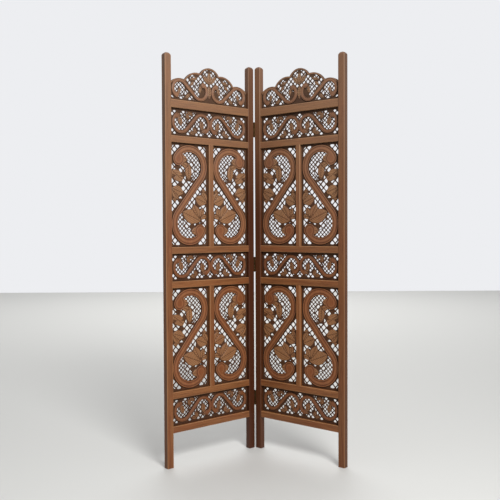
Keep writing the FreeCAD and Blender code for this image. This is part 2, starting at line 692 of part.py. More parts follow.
def tall_board():
    """Tall board with one S-shaped scroll, leaves in its two bays and lattice between them."""
    width, height = number(TALL_WIDTH), size("tall_height")
    border = size("board_border")
    outside = width / 2 - size("tall_scroll_side")
    upper = Vector(0, 0, height / 2 - size("tall_scroll_end") - outside)
    scroll = make_scroll(upper, -upper, outside, size("tall_scroll_width"), size("tall_bulb_radius"), 1)
    leaves = [(upper, leaf) for leaf in TALL_UPPER_LEAVES]
    leaves += [(-upper, leaf) for leaf in TALL_LOWER_LEAVES]

    def field(point):
        return field_clearance(width / 2 - border, border - height / 2, height / 2 - border, point)

    return carved_board(board_outline(width, height), field, [scroll], leaves, "tall")


def lying_scrolls(outer_x, inner_x, rise, outside, hand, leaves):
    """A lying scroll in each half of a long board, one the mirror image of the other, and their leaves."""
    scrolls, placed = [], []
    for half in (-1, 1):
        outer, inner = Vector(half * outer_x, 0, rise), Vector(half * inner_x, 0, rise)
        scrolls.append(make_scroll(outer, inner, outside, size("frieze_scroll_width"),
                                   size("frieze_bulb_radius"), half * hand))
        for leaf in leaves:
            upright = leaf if half < 0 else mirrored(leaf)
            placed.append((outer, upright if hand < 0 else mirrored(half_turned(upright))))
            placed.append((inner, half_turned(upright) if hand < 0 else mirrored(upright)))
    return scrolls, placed


def frieze_board():
    """Long board with two lying scrolls."""
    width, height = number(SPAN), size("frieze_height")
    border = size("board_border")
    overlap = size("frieze_scroll_overlap")
    # Four loops side by side, with room for a crossing between the two of each scroll
    widest = (width / 2 - border + overlap + size("frieze_scroll_width")) / 4 * LOOP_ROOM
    outside = min(height / 2 - border - size("frieze_scroll_margin"), widest)
    outer_x = width / 2 - border - outside
    inner_x = outside - overlap
    scrolls, leaves = lying_scrolls(outer_x, inner_x, 0, outside, -1, FRIEZE_LEAVES)

    def field(point):
        return field_clearance(width / 2 - border, border - height / 2, height / 2 - border, point)

    return carved_board(board_outline(width, height), field, scrolls, leaves, "frieze")


def crest_lobes(end_x):
    """Arcs of the five lobes of the crest, from its right end to its left end."""
    ends = [(end_x, "crest_end_rise"), (size("crest_outer_valley"), "crest_outer_rise")]
    ends.append((size("crest_inner_valley"), "crest_inner_rise"))
    right = [Vector(x, 0, size(rise)) for x, rise in ends]
    left = [Vector(-point.x, 0, point.z) for point in right]
    peak = Vector(0, 0, size("crest_peak_rise"))
    bulges = (-size("crest_outer_bulge"), -size("crest_inner_bulge"))
    lobes = [bulged_arc(right[index], right[index + 1], bulge) for index, bulge in enumerate(bulges)]
    lobes.append(Part.Arc(right[2], peak, left[2]))
    lobes += [bulged_arc(left[index + 1], left[index], bulges[index]) for index in (1, 0)]
    return lobes


def crest_outline(face_x, tongue, low):
    """Crest outline: five lobes between the posts, with straight tongues and a foot in the grooves."""
    arcs = [lobe.toShape() for lobe in crest_lobes(face_x)]
    right_end, left_end = arcs[0].Vertexes[0].Point, arcs[-1].Vertexes[1].Point
    right_tip, left_tip = right_end + Vector(tongue, 0, 0), left_end - Vector(tongue, 0, 0)
    right_foot, left_foot = Vector(right_tip.x, 0, low), Vector(left_tip.x, 0, low)
    corners = [left_end, left_tip, left_foot, right_foot, right_tip, right_end]
    sides = [line_edge(start, end) for start, end in zip(corners, corners[1:])]
    return Part.Wire(arcs + sides)


def crest_board():
    """Scalloped board over the crest rail, with two lying scrolls and a fan of leaves under its lobes."""
    width = number(SPAN)
    tongue = size("groove_depth") - size("board_edge_gap")
    rim = size("crest_rim")
    outside = size("crest_loop_radius")
    outer_x = width / 2 - rim - outside
    scrolls, leaves = lying_scrolls(outer_x, size("crest_inner_loop"), size("crest_loop_rise"), outside, 1,
                                    CREST_LEAVES)
    leaves += [(Vector(), leaf) for leaf in CREST_FAN]
    circles = [lobe.toShape().Curve for lobe in crest_lobes(width / 2)]
    notches = [-size("crest_outer_valley"), -size("crest_inner_valley")]
    notches += [-notch for notch in reversed(notches)]

    def field(point):
        lobe = sum(point.x > notch for notch in notches)
        circle = circles[len(circles) - 1 - lobe]
        below = circle.Radius - rim - point.distanceToPoint(circle.Center)
        return min(below, width / 2 - rim - abs(point.x), point.z - rim)

    outline = crest_outline(width / 2, tongue, -size("groove_depth"))
    return carved_board(outline, field, scrolls, leaves, "frieze")


def make_board(label, shape, side, along, up, half_turn=False):
    """One carved board in its opening."""
    feature = doc.addObject("Part::Feature", label)
    feature.Shape = shape.copy()
    place(feature, label, side, along, leaf_middle_through() + size("board_setback"), up, half_turn)


def primitive(kind, name, turn=None, **bindings):
    """Part primitive whose sizes, and whose place as x, y and z, follow expressions over the sheet."""
    obj = doc.addObject(f"Part::{kind}", name)
    if turn is not None:
        obj.Placement = Placement(Vector(), turn)
    for prop, expression in bindings.items():
        target = f"Placement.Base.{prop}" if prop in ("x", "y", "z") else prop
        obj.setExpression(target, expression)
    return obj


def joined(name, shapes, kind="Part::MultiFuse"):
    """Several shapes as one."""
    obj = doc.addObject(kind, name)
    if kind == "Part::Compound":
        obj.Links = shapes
    else:
        obj.Shapes = shapes
    return obj


def along_x(side):
    """Rotation that turns +Z to the way that a screw of this leaf points."""
    return Rotation(Vector(0, 1, 0), side * 90)


def make_hinge_plate(label, side, hinge_level):
    """Hinge plate with its share of the knuckles, bored for the pin and countersunk for the screws."""
    edge = "Sizes.hinge_gap / 2"
    plate_x = f"{edge} - Sizes.hinge_plate_thickness" if side > 0 else f"-{edge}"
    plate = primitive("Box", f"{label}_plate", Length="Sizes.hinge_plate_thickness",
                      Width="Sizes.hinge_plate_width", Height="Sizes.hinge_height", x=plate_x)
    barrel = primitive("Cylinder", f"{label}_barrel", Radius=edge, Height="Sizes.hinge_height")
    body = joined(f"{label}_body", [plate, barrel])
    cutters = [primitive("Cylinder", f"{label}_bore", Radius="Sizes.pin_radius + Sizes.pin_clearance",
                         Height=f"Sizes.hinge_height + 2 * {OVERRUN}", z=f"-{OVERRUN}")]
    pitch = f"(Sizes.hinge_height + Sizes.knuckle_gap) / {KNUCKLES}"
    for index in range(1 if side < 0 else 0, KNUCKLES, 2):
        cutters.append(primitive("Cylinder", f"{label}_notch{index}", Radius=f"{edge} + Sizes.knuckle_gap",
                                 Height=f"{pitch} + Sizes.knuckle_gap",
                                 z=f"{index} * {pitch} - Sizes.knuckle_gap"))
    seat_x = f"{side} * ({edge} - Sizes.hinge_plate_thickness)"
    for index, level in enumerate(screw_levels("Sizes.hinge_height / 2")):
        cutters.append(primitive("Cone", f"{label}_seat{index}", along_x(side),
                                 Radius1="Sizes.screw_head_radius + Sizes.screw_clearance",
                                 Radius2="Sizes.screw_radius + Sizes.screw_clearance",
                                 Height="Sizes.hinge_plate_thickness",
                                 x=seat_x, y="Sizes.screw_line", z=level))
    plate_cut = doc.addObject("Part::Cut", label)
    plate_cut.Base = body
    plate_cut.Tool = joined(f"{label}_cutters", cutters)
    place(plate_cut, label, side, 0, 0, number(f"{hinge_level} - Sizes.hinge_height / 2"))


def make_hinge_pin(label, hinge_level):
    """Pin of a hinge, with a riveted end above and below the knuckles."""
    shank = primitive("Cylinder", f"{label}_shank", Radius="Sizes.pin_radius", Height="Sizes.hinge_height")
    ends = [
        primitive("Cylinder", f"{label}_end{index}", Radius="Sizes.pin_head_radius",
                  Height="Sizes.pin_head_height", z=level)
        for index, level in enumerate(("-Sizes.pin_head_height", "Sizes.hinge_height"))
    ]
    pin = joined(label, [shank] + ends)
    place(pin, label, -1, 0, 0, number(f"{hinge_level} - Sizes.hinge_height / 2"))


def make_hinge_screws(label, side):
    """All the hinge screws of one leaf, as separate solids."""
    screws = []
    seat = "(Sizes.hinge_gap / 2 - Sizes.hinge_plate_thickness)"
    sections = (
        ("head", seat, "Sizes.hinge_plate_thickness", "Sizes.screw_head_radius", "Sizes.screw_radius"),
        ("shank", "Sizes.hinge_gap / 2", "Sizes.screw_length - Sizes.screw_tip", "Sizes.screw_radius", None),
        ("tip", "Sizes.hinge_gap / 2 + Sizes.screw_length - Sizes.screw_tip", "Sizes.screw_tip",
         "Sizes.screw_radius", "0"),
    )
    for hinge, hinge_level in hinge_levels().items():
        for index, level in enumerate(screw_levels(hinge_level)):
            name = f"{label}_{hinge}{index}"
            spot = {"y": "Sizes.screw_line", "z": level}
            pieces = []
            for section, start, length, wide, narrow in sections:
                radii = {"Radius": wide} if narrow is None else {"Radius1": wide, "Radius2": narrow}
                kind = "Cylinder" if narrow is None else "Cone"
                pieces.append(primitive(kind, f"{name}_{section}", along_x(side), Height=length,
                                        x=f"{side} * ({start})", **radii, **spot))
            screws.append(joined(name, pieces))
    place(joined(label, screws, "Part::Compound"), label, side, 0, 0, 0)


def make_leaf(name, side):
    """Every wooden piece of one leaf."""
    make_post(f"{name}_hinge_post", side, at_hinge=True)
    make_post(f"{name}_outer_post", side, at_hinge=False)
    for piece, height in RAILS.items():
        make_rail(f"{name}_{piece}", side, piece, height)
    middle = leaf_middle_along()
    for row in ("lower", "upper"):
        make_mullion(f"{name}_{row}_mullion", side, f"{row}_tall")
        up = number(f"{LEVEL[row + '_tall']} + Sizes.tall_height / 2")
        offset = number(f"({TALL_WIDTH} + Sizes.mullion_width) / 2")
        make_board(f"{name}_{row}_left_panel", tall_shape, side, middle - side * offset, up, half_turn=True)
        make_board(f"{name}_{row}_right_panel", tall_shape, side, middle + side * offset, up)
    for row in ("bottom", "waist", "top"):
        up = number(f"{LEVEL[row + '_frieze']} + Sizes.frieze_height / 2")
        make_board(f"{name}_{row}_frieze", frieze_shape, side, middle, up)
    make_board(f"{name}_crest_panel", crest_shape, side, middle, number(LEVEL["crest"]))


tall_shape = tall_board()
frieze_shape = frieze_board()
crest_shape = crest_board()
for leaf_name, leaf_side in (("left", -1), ("right", 1)):
    make_leaf(leaf_name, leaf_side)
    make_hinge_screws(f"{leaf_name}_hinge_screws", leaf_side)
    for hinge_name, level in hinge_levels().items():
        make_hinge_plate(f"{hinge_name}_hinge_{leaf_name}_plate", leaf_side, level)
for hinge_name, level in hinge_levels().items():
    make_hinge_pin(f"{hinge_name}_hinge_pin", level)
doc.recompute()

for obj in doc.Objects:
    if "Invalid" in obj.State or "Error" in obj.State:
        raise RuntimeError(f"{obj.Label} failed: {obj.State}")
for obj in sub_parts:
    if obj.Shape.isNull() or not obj.Shape.isValid():
        raise RuntimeError(f"{obj.Label} has no valid shape")

os.makedirs("parts", exist_ok=True)
for obj in sub_parts:
    obj.Shape.exportStep(os.path.join("parts", f"{obj.Label}.step"))
print(len(sub_parts), "sub-parts")
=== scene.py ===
import json
import logging
import math
from dataclasses import dataclass
from enum import Enum

import bpy
import numpy as np
from mathutils import Matrix, Vector
from mathutils.geometry import delaunay_2d_cdt


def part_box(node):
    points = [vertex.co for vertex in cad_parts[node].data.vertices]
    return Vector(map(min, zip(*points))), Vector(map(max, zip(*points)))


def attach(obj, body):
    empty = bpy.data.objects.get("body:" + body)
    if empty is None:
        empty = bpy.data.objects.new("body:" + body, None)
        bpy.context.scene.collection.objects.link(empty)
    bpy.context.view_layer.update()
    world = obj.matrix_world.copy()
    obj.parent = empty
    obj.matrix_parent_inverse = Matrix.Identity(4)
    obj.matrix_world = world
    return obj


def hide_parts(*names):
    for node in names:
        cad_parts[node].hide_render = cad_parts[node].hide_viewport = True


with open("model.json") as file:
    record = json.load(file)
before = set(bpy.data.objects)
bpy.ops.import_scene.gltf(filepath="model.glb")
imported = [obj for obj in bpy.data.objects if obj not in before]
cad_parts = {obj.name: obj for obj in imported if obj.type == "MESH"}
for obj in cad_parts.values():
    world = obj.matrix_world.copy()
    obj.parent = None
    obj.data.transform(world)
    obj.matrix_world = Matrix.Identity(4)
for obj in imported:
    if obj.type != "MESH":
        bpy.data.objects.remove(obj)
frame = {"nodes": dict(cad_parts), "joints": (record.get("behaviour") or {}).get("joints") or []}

log = logging.getLogger("folding_screen")

MM = 0.001

# Loop centres of the scrolls, from the middle of a board's opening, or from the crest rail on the crest board
TALL_LOOP = 127.5 * MM
FRIEZE_OUTER_LOOP = 160.5 * MM
FRIEZE_INNER_LOOP = 47 * MM
CREST_OUTER_LOOP = 164.5 * MM
CREST_INNER_LOOP = 54 * MM
CREST_LOOP_RISE = 52 * MM
# How much further a board reaches into the groove below it than into the one above it, and the groove's depth
FOOT_EXCESS = 0.6 * MM
GROOVE_DEPTH = 6 * MM
# Heights between which a piece's stain and painted shade go from what they are low down to what they are high
# up
STAIN_AND_PAINTED_SHADE_FADE = (1.15, 1.65)
# How many places in the log the pieces are cut from, and how far apart these lie, in metres
LOG_PLACES = 97
LOG_STEP = 0.137


class Side(Enum):
    """The two leaves, as seen from the open side of the screen."""

    LEFT = "left"
    RIGHT = "right"

    @property
    def body(self) -> str:
        """Name of the moving body that the leaf belongs to."""
        return f"{self.value}_leaf"


class Grain(Enum):
    """The way that the fibres of a piece of timber run."""

    UPRIGHT = "upright"
    LENGTHWISE = "lengthwise"


class Slot(Enum):
    """Material slots of the record."""

    FRAME_WOOD = "frame_wood"
    CARVED_WOOD = "carved_wood"
    SCREW_STEEL = "screw_steel"


def linear(hex_colour: str) -> tuple[float, float, float, float]:
    """Turn an sRGB hex colour to linear light.

    Args:
        hex_colour: Colour such as "#7A4A2A".

    Returns:
        Red, green, blue and an alpha of 1.
    """
    channels = [int(hex_colour[start:start + 2], 16) / 255 for start in (1, 3, 5)]
    light = [c / 12.92 if c <= 0.04045 else ((c + 0.055) / 1.055) ** 2.4 for c in channels]
    return (*light, 1.0)


def feed(node: bpy.types.Node, inputs: dict) -> None:
    """Link or set inputs of a node.

    Args:
        node: The node.
        inputs: Name or index of an input to the output that feeds it, a list of such outputs, or a constant.
    """
    for name, value in inputs.items():
        for source in value if isinstance(value, list) else [value]:
            if isinstance(source, bpy.types.NodeSocket):
                node.id_data.links.new(source, node.inputs[name])
            else:
                node.inputs[name].default_value = source


def add_node(tree: bpy.types.NodeTree, kind: str, inputs: dict | None = None,
             **settings) -> bpy.types.NodeOutputs:
    """Add a node with its settings, and link or set its inputs.

    Args:
        tree: Shader or geometry tree.
        kind: Type of the node.
        inputs: What its inputs get, as in feed.
        settings: Properties of the node.

    Returns:
        The outputs of the new node.
    """
    node = tree.nodes.new(kind)
    for name, value in settings.items():
        setattr(node, name, value)
    feed(node, inputs or {})
    return node.outputs


def add_steps(tree: bpy.types.NodeTree, known: dict[str, bpy.types.NodeSocket], steps: tuple) -> None:
    """Add a table of arithmetic to a tree, row by row.

    Args:
        tree: Shader or geometry tree.
        known: Sockets by name, which the rows read and to which each row adds its result.
        steps: Rows of a result's name, an operation and its operands, each a name or a constant. LINEAR and
            SMOOTHSTEP take a value, the two limits that it moves between and the results at these limits.
    """
    for result, operation, *operands in steps:
        inputs = {index: known.get(operand, operand) for index, operand in enumerate(operands)}
        if operation in ("LINEAR", "SMOOTHSTEP"):
            outputs = add_node(tree, "ShaderNodeMapRange", inputs, interpolation_type=operation)
        else:
            outputs = add_node(tree, "ShaderNodeMath", inputs, operation=operation)
        known[result] = outputs[0]


def new_material(name: str) -> tuple[bpy.types.Material, bpy.types.NodeTree, bpy.types.Node]:
    """Start a material.

    Args:
        name: Its name.

    Returns:
        The material, its tree and its surface shader.
    """
    material = bpy.data.materials.new(name)
    material.use_nodes = True
    return material, material.node_tree, material.node_tree.nodes["Principled BSDF"]


@dataclass(frozen=True)
class StainedTimber:
    """Sheesham, stained mid brown and rubbed with satin lacquer.

    The eye sees dark pore streaks along the grain, broad lighter and darker figure across it, stain and painted
    shade in the hollows of the carving, paler wood and a painted highlight on rubbed edges, and a painted grey
    sheen towards the top.
    """

    name: str
    grain: Grain
    turn: float
    base: str = "#6E4122"
    dark: str = "#43200C"
    light: str = "#98663C"
    # Paler wood and a painted highlight on rubbed edges and crowns
    rubbed: str = "#BC9066"
    russet: str = "#74371A"
    # Colour of stain and painted shade in the hollows, at hole rims, under the rails and on the outer sides of
    # posts
    stain_and_painted_shade_colour: str = "#160A03"
    # A painted grey sheen towards the top: its colour, the heights over which it comes in, and its share
    bloom: str = "#8C8474"
    painted_sheen_from: float = 0.8
    painted_sheen_to: float = 1.8
    painted_sheen_share: float = 0.24
    figure_mm: tuple[float, float] = (34, 520)
    patch_mm: tuple[float, float] = (58, 190)
    streak_mm: tuple[float, float] = (3.2, 90)
    pore_mm: tuple[float, float] = (0.9, 14)
    roughness: tuple[float, float] = (0.38, 0.58)
    bare_roughness: float = 1.2
    pore_depth_mm: float = 0.25

    def scale(self, across_mm: float, along_mm: float) -> tuple[float, float, float]:
        """Texture scale for a pattern of a width across the grain and a length along it."""
        across, along = 1 / (across_mm * MM), 1 / (along_mm * MM)
        return (across, across, along) if self.grain is Grain.UPRIGHT else (along, across, across)

    def material(self) -> bpy.types.Material:
        """Make the material.

        Returns:
            A material that reads Object coordinates and the attributes of tone, stain with painted shade,
            ruddy, hollow stain with painted shade, and wear with a painted highlight.
        """
        material, tree, shader = new_material(self.name)
        place = add_node(tree, "ShaderNodeTexCoord")["Object"]
        turned = add_node(tree, "ShaderNodeMapping", {"Vector": place, "Rotation": (0, 0, -self.turn)})[0]
        # Each piece is cut from another place in the log.
        tone = add_node(tree, "ShaderNodeAttribute", attribute_name="tone")["Vector"]
        shifted = add_node(tree, "ShaderNodeVectorMath", {0: turned, 1: tone})[0]
        known = {"height": add_node(tree, "ShaderNodeSeparateXYZ", {0: place})[2]}
        for name in ("stain", "ruddy", "recess", "wear"):
            known[name] = add_node(tree, "ShaderNodeAttribute", attribute_name=name)["Fac"]
        for name, size, detail, distortion in (
                ("figure", self.figure_mm, 3, 0.6), ("patch", self.patch_mm, 2, 0.8),
                ("streak", self.streak_mm, 5, 0.3), ("pore", self.pore_mm, 2, 0)):
            spread = add_node(tree, "ShaderNodeMapping", {"Vector": shifted, "Scale": self.scale(*size)})[0]
            known[name] = add_node(tree, "ShaderNodeTexNoise", {
                "Vector": spread, "Scale": 1, "Detail": detail, "Roughness": 0.6,
                "Distortion": distortion})[0]
        add_steps(tree, known, (
            ("russet_patch", "LINEAR", "patch", 0.48, 0.72, 0, 0.6),
            ("light_figure", "LINEAR", "figure", 0.32, 0.68, 0, 0.5),
            ("dark_streak", "LINEAR", "streak", 0.5, 0.74, 0, 0.75),
            ("light_streak", "LINEAR", "streak", 0.46, 0.24, 0, 0.55),
            ("dark_pore", "LINEAR", "pore", 0.6, 0.72, 0, 0.5),
            # Rubbed edges take paler wood and a painted highlight, broken up along the grain.
            ("wear_break", "LINEAR", "streak", 0.3, 0.7, 0.45, 1),
            ("worn", "MULTIPLY", "wear", "wear_break"),
            # A painted grey sheen lightens the wood towards the top, standing in for light on the upper parts.
            ("bloomed", "LINEAR", "height", self.painted_sheen_from, self.painted_sheen_to, 0, self.painted_sheen_share),
            # Hollows and sawn edges keep no lacquer, so they are matt.
            ("lacquer", "LINEAR", "streak", 0.3, 0.7, *self.roughness),
            ("bare", "MULTIPLY", "recess", self.bare_roughness),
            ("rough", "MAXIMUM", "lacquer", "bare"),
            ("fibre", "ADD", "streak", "pore")))
        colour = linear(self.base)
        # Mixes over the base: grain, wear with a painted highlight, ruddy bands, a painted grey sheen high up,
        # stain with painted shade, and hollow stain with painted shade.
        for share, target in (
                ("russet_patch", self.russet), ("light_figure", self.light), ("dark_streak", self.dark),
                ("light_streak", self.light), ("dark_pore", self.dark), ("worn", self.rubbed),
                ("ruddy", self.russet), ("bloomed", self.bloom), ("stain", self.dark),
                ("recess", self.stain_and_painted_shade_colour)):
            colour = add_node(tree, "ShaderNodeMix", {0: known[share], 6: colour, 7: linear(target)},
                              data_type="RGBA")[2]
        bump = add_node(tree, "ShaderNodeBump", {
            "Height": known["fibre"], "Strength": 0.35, "Distance": self.pore_depth_mm * MM}, invert=True)[0]
        feed(shader, {"Base Color": colour, "Roughness": known["rough"], "Normal": bump, "IOR": 1.5,
                      "Specular IOR Level": 0.28, "Coat Weight": 0.04, "Coat Roughness": 0.28})
        return material


@dataclass(frozen=True)
class AgedMetal:
    """Cast or turned hardware that has dulled: bright where it is rubbed, brown-black where it isn't."""

    name: str
    bright: str
    tarnish: str
    patch_mm: float
    roughness: tuple[float, float]

    def material(self) -> bpy.types.Material:
        """Make the material.

        Returns:
            A metal whose colour and roughness follow patches of tarnish.
        """
        material, tree, shader = new_material(self.name)
        place = add_node(tree, "ShaderNodeTexCoord")["Object"]
        noise = add_node(tree, "ShaderNodeTexNoise", {
            "Vector": place, "Scale": 1 / (self.patch_mm * MM), "Detail": 6, "Roughness": 0.65})[0]
        known = {"noise": noise}
        add_steps(tree, known, (("tarnished", "LINEAR", "noise", 0.35, 0.65, 0, 1),
                                ("rough", "LINEAR", "noise", 0.3, 0.7, *self.roughness)))
        colour = add_node(tree, "ShaderNodeMix", {
            0: known["tarnished"], 6: linear(self.bright), 7: linear(self.tarnish)}, data_type="RGBA")[2]
        bump = add_node(tree, "ShaderNodeBump", {"Height": noise, "Strength": 0.2, "Distance": 0.2 * MM})[0]
        feed(shader, {"Metallic": 1.0, "Base Color": colour, "Roughness": known["rough"], "Normal": bump})
        return material


@dataclass(frozen=True)
class LeafFrame:
    """The axes of a leaf: X along it to the right, Y to its back and Z up, from the foot of the hinge."""

    side: Side
    turn: float
    matrix: Matrix

    @classmethod
    def between_posts(cls, side: Side) -> "LeafFrame":
        """Read a leaf's axes from its two posts and the hinge joint.

        Args:
            side: Which leaf.

        Returns:
            The leaf's frame in the row frame.
        """
        hinge, outer = (sum(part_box(f"{side.value}_{post}_post"), Vector()) / 2 for post in ("hinge", "outer"))
        along = outer - hinge
        if side is Side.LEFT:
            along = -along
        turn = math.atan2(along.y, along.x)
        hinge_x, hinge_y, _ = frame["joints"][0]["pos_m"]
        matrix = Matrix.Translation((hinge_x, hinge_y, 0)) @ Matrix.Rotation(turn, 4, "Z")
        return cls(side, turn, matrix)

    def points(self, node: str) -> np.ndarray:
        """Read the vertices of a CAD node.

        Args:
            node: Name of the node.

        Returns:
            Their places in this leaf's axes, one row each.
        """
        mesh = frame["nodes"][node].data
        flat = np.empty(len(mesh.vertices) * 3)
        mesh.vertices.foreach_get("co", flat)
        inverse = np.array(self.matrix.inverted())
        return flat.reshape(-1, 3) @ inverse[:3, :3].T + inverse[:3, 3]

    def box(self, piece: str) -> tuple[Vector, Vector]:
        """Lowest and highest corner of one of this leaf's CAD nodes, in the leaf's axes.

        Args:
            piece: Name of the node without the leaf's own name.

        Returns:
            The two corners.
        """
        points = self.points(f"{self.side.value}_{piece}")
        return Vector(points.min(0)), Vector(points.max(0))


def new_tree(name: str,
             sizes: dict[str, float]) -> tuple[bpy.types.NodeTree, dict[str, bpy.types.NodeSocket]]:
    """Start a geometry tree with named inputs: a geometry, numbers and a material.

    Args:
        name: Name of the tree.
        sizes: Name of each number that goes in to its default.

    Returns:
        The tree, and the outputs of its group input by name.
    """
    tree = bpy.data.node_groups.new(name, "GeometryNodeTree")
    tree.interface.new_socket("Geometry", in_out="INPUT", socket_type="NodeSocketGeometry")
    for label, default in sizes.items():
        socket = tree.interface.new_socket(label, in_out="INPUT", socket_type="NodeSocketFloat")
        socket.default_value = default
    tree.interface.new_socket("Material", in_out="INPUT", socket_type="NodeSocketMaterial")
    tree.interface.new_socket("Geometry", in_out="OUTPUT", socket_type="NodeSocketGeometry")
    return tree, {socket.name: socket for socket in add_node(tree, "NodeGroupInput") if socket.name}


def end_tree(tree: bpy.types.NodeTree, geometry: bpy.types.NodeSocket,
             material: bpy.types.NodeSocket) -> bpy.types.NodeTree:
    """Realize what a tree made, give it its material and send it out.

    Args:
        tree: The tree.
        geometry: What the tree made.
        material: The material input.

    Returns:
        The finished tree.
    """
    solid = add_node(tree, "GeometryNodeRealizeInstances", {0: geometry})[0]
    dressed = add_node(tree, "GeometryNodeSetMaterial", {"Geometry": solid, "Material": material})[0]
    add_node(tree, "NodeGroupOutput", {0: dressed})
    return tree


def grown(tree: bpy.types.NodeTree, base: bpy.types.Mesh, name: str, values: dict) -> bpy.types.Mesh:
    """Run a geometry tree on a base mesh.

    Args:
        tree: The tree.
        base: Mesh that goes into the tree and is used up.
        name: Name of the mesh that comes out.
        values: Input name to its value.

    Returns:
        A plain mesh.
    """
    holder = bpy.data.objects.new(name, base)
    bpy.context.scene.collection.objects.link(holder)
    modifier = holder.modifiers.new("shape", "NODES")
    modifier.node_group = tree
    for item in tree.interface.items_tree:
        if item.in_out == "INPUT" and item.name in values:
            modifier[item.identifier] = values[item.name]
    graph = bpy.context.evaluated_depsgraph_get()
    mesh = bpy.data.meshes.new_from_object(holder.evaluated_get(graph), preserve_all_data_layers=True,
                                           depsgraph=graph)
    mesh.name = name
    bpy.data.objects.remove(holder)
    bpy.data.meshes.remove(base)
    return mesh


def show(mesh: bpy.types.Mesh, node: str, side: Side) -> None:
    """Put a finished mesh in the scene in place of a CAD node.

    Args:
        mesh: Mesh with its place in its vertices.
        node: CAD node that it stands for.
        side: Leaf that it moves with.
    """
    piece = bpy.data.objects.new(mesh.name, mesh)
    bpy.context.scene.collection.objects.link(piece)
    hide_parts(node)
    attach(piece, side.body)
    log.info("%s: %d triangles", piece.name, sum(len(face.vertices) - 2 for face in mesh.polygons))


def store(mesh: bpy.types.Mesh, values: dict[str, np.ndarray]) -> None:
    """Store numbers on the points of a mesh, each array by its name."""
    for name, value in values.items():
        mesh.attributes.new(name, "FLOAT", "POINT").data.foreach_set("value", value.astype(np.float32))


def set_tone(mesh: bpy.types.Mesh, tone: float, low_stain_and_painted_shade: float, high_stain_and_painted_shade: float) -> None:
    """Store where in the log a piece was cut, and how dark its stain and painted shade are.

    Args:
        mesh: The piece, with its place in its vertices.
        tone: Place in the log, in metres.
        low_stain_and_painted_shade: Darkness of stain and painted shade low down, from 0 to 1.
        high_stain_and_painted_shade: The same high up.
    """
    flat = np.empty(len(mesh.vertices) * 3, np.float32)
    mesh.vertices.foreach_get("co", flat)
    stain = np.interp(flat[2::3], STAIN_AND_PAINTED_SHADE_FADE, (low_stain_and_painted_shade, high_stain_and_painted_shade))
    store(mesh, {"tone": np.full(len(stain), tone), "stain": stain})


def piece_tone(name: str) -> float:
    """Place in the log for a piece, from its name."""
    letters = sum((index + 1) * ord(letter) for index, letter in enumerate(name))
    return letters % LOG_PLACES * LOG_STEP


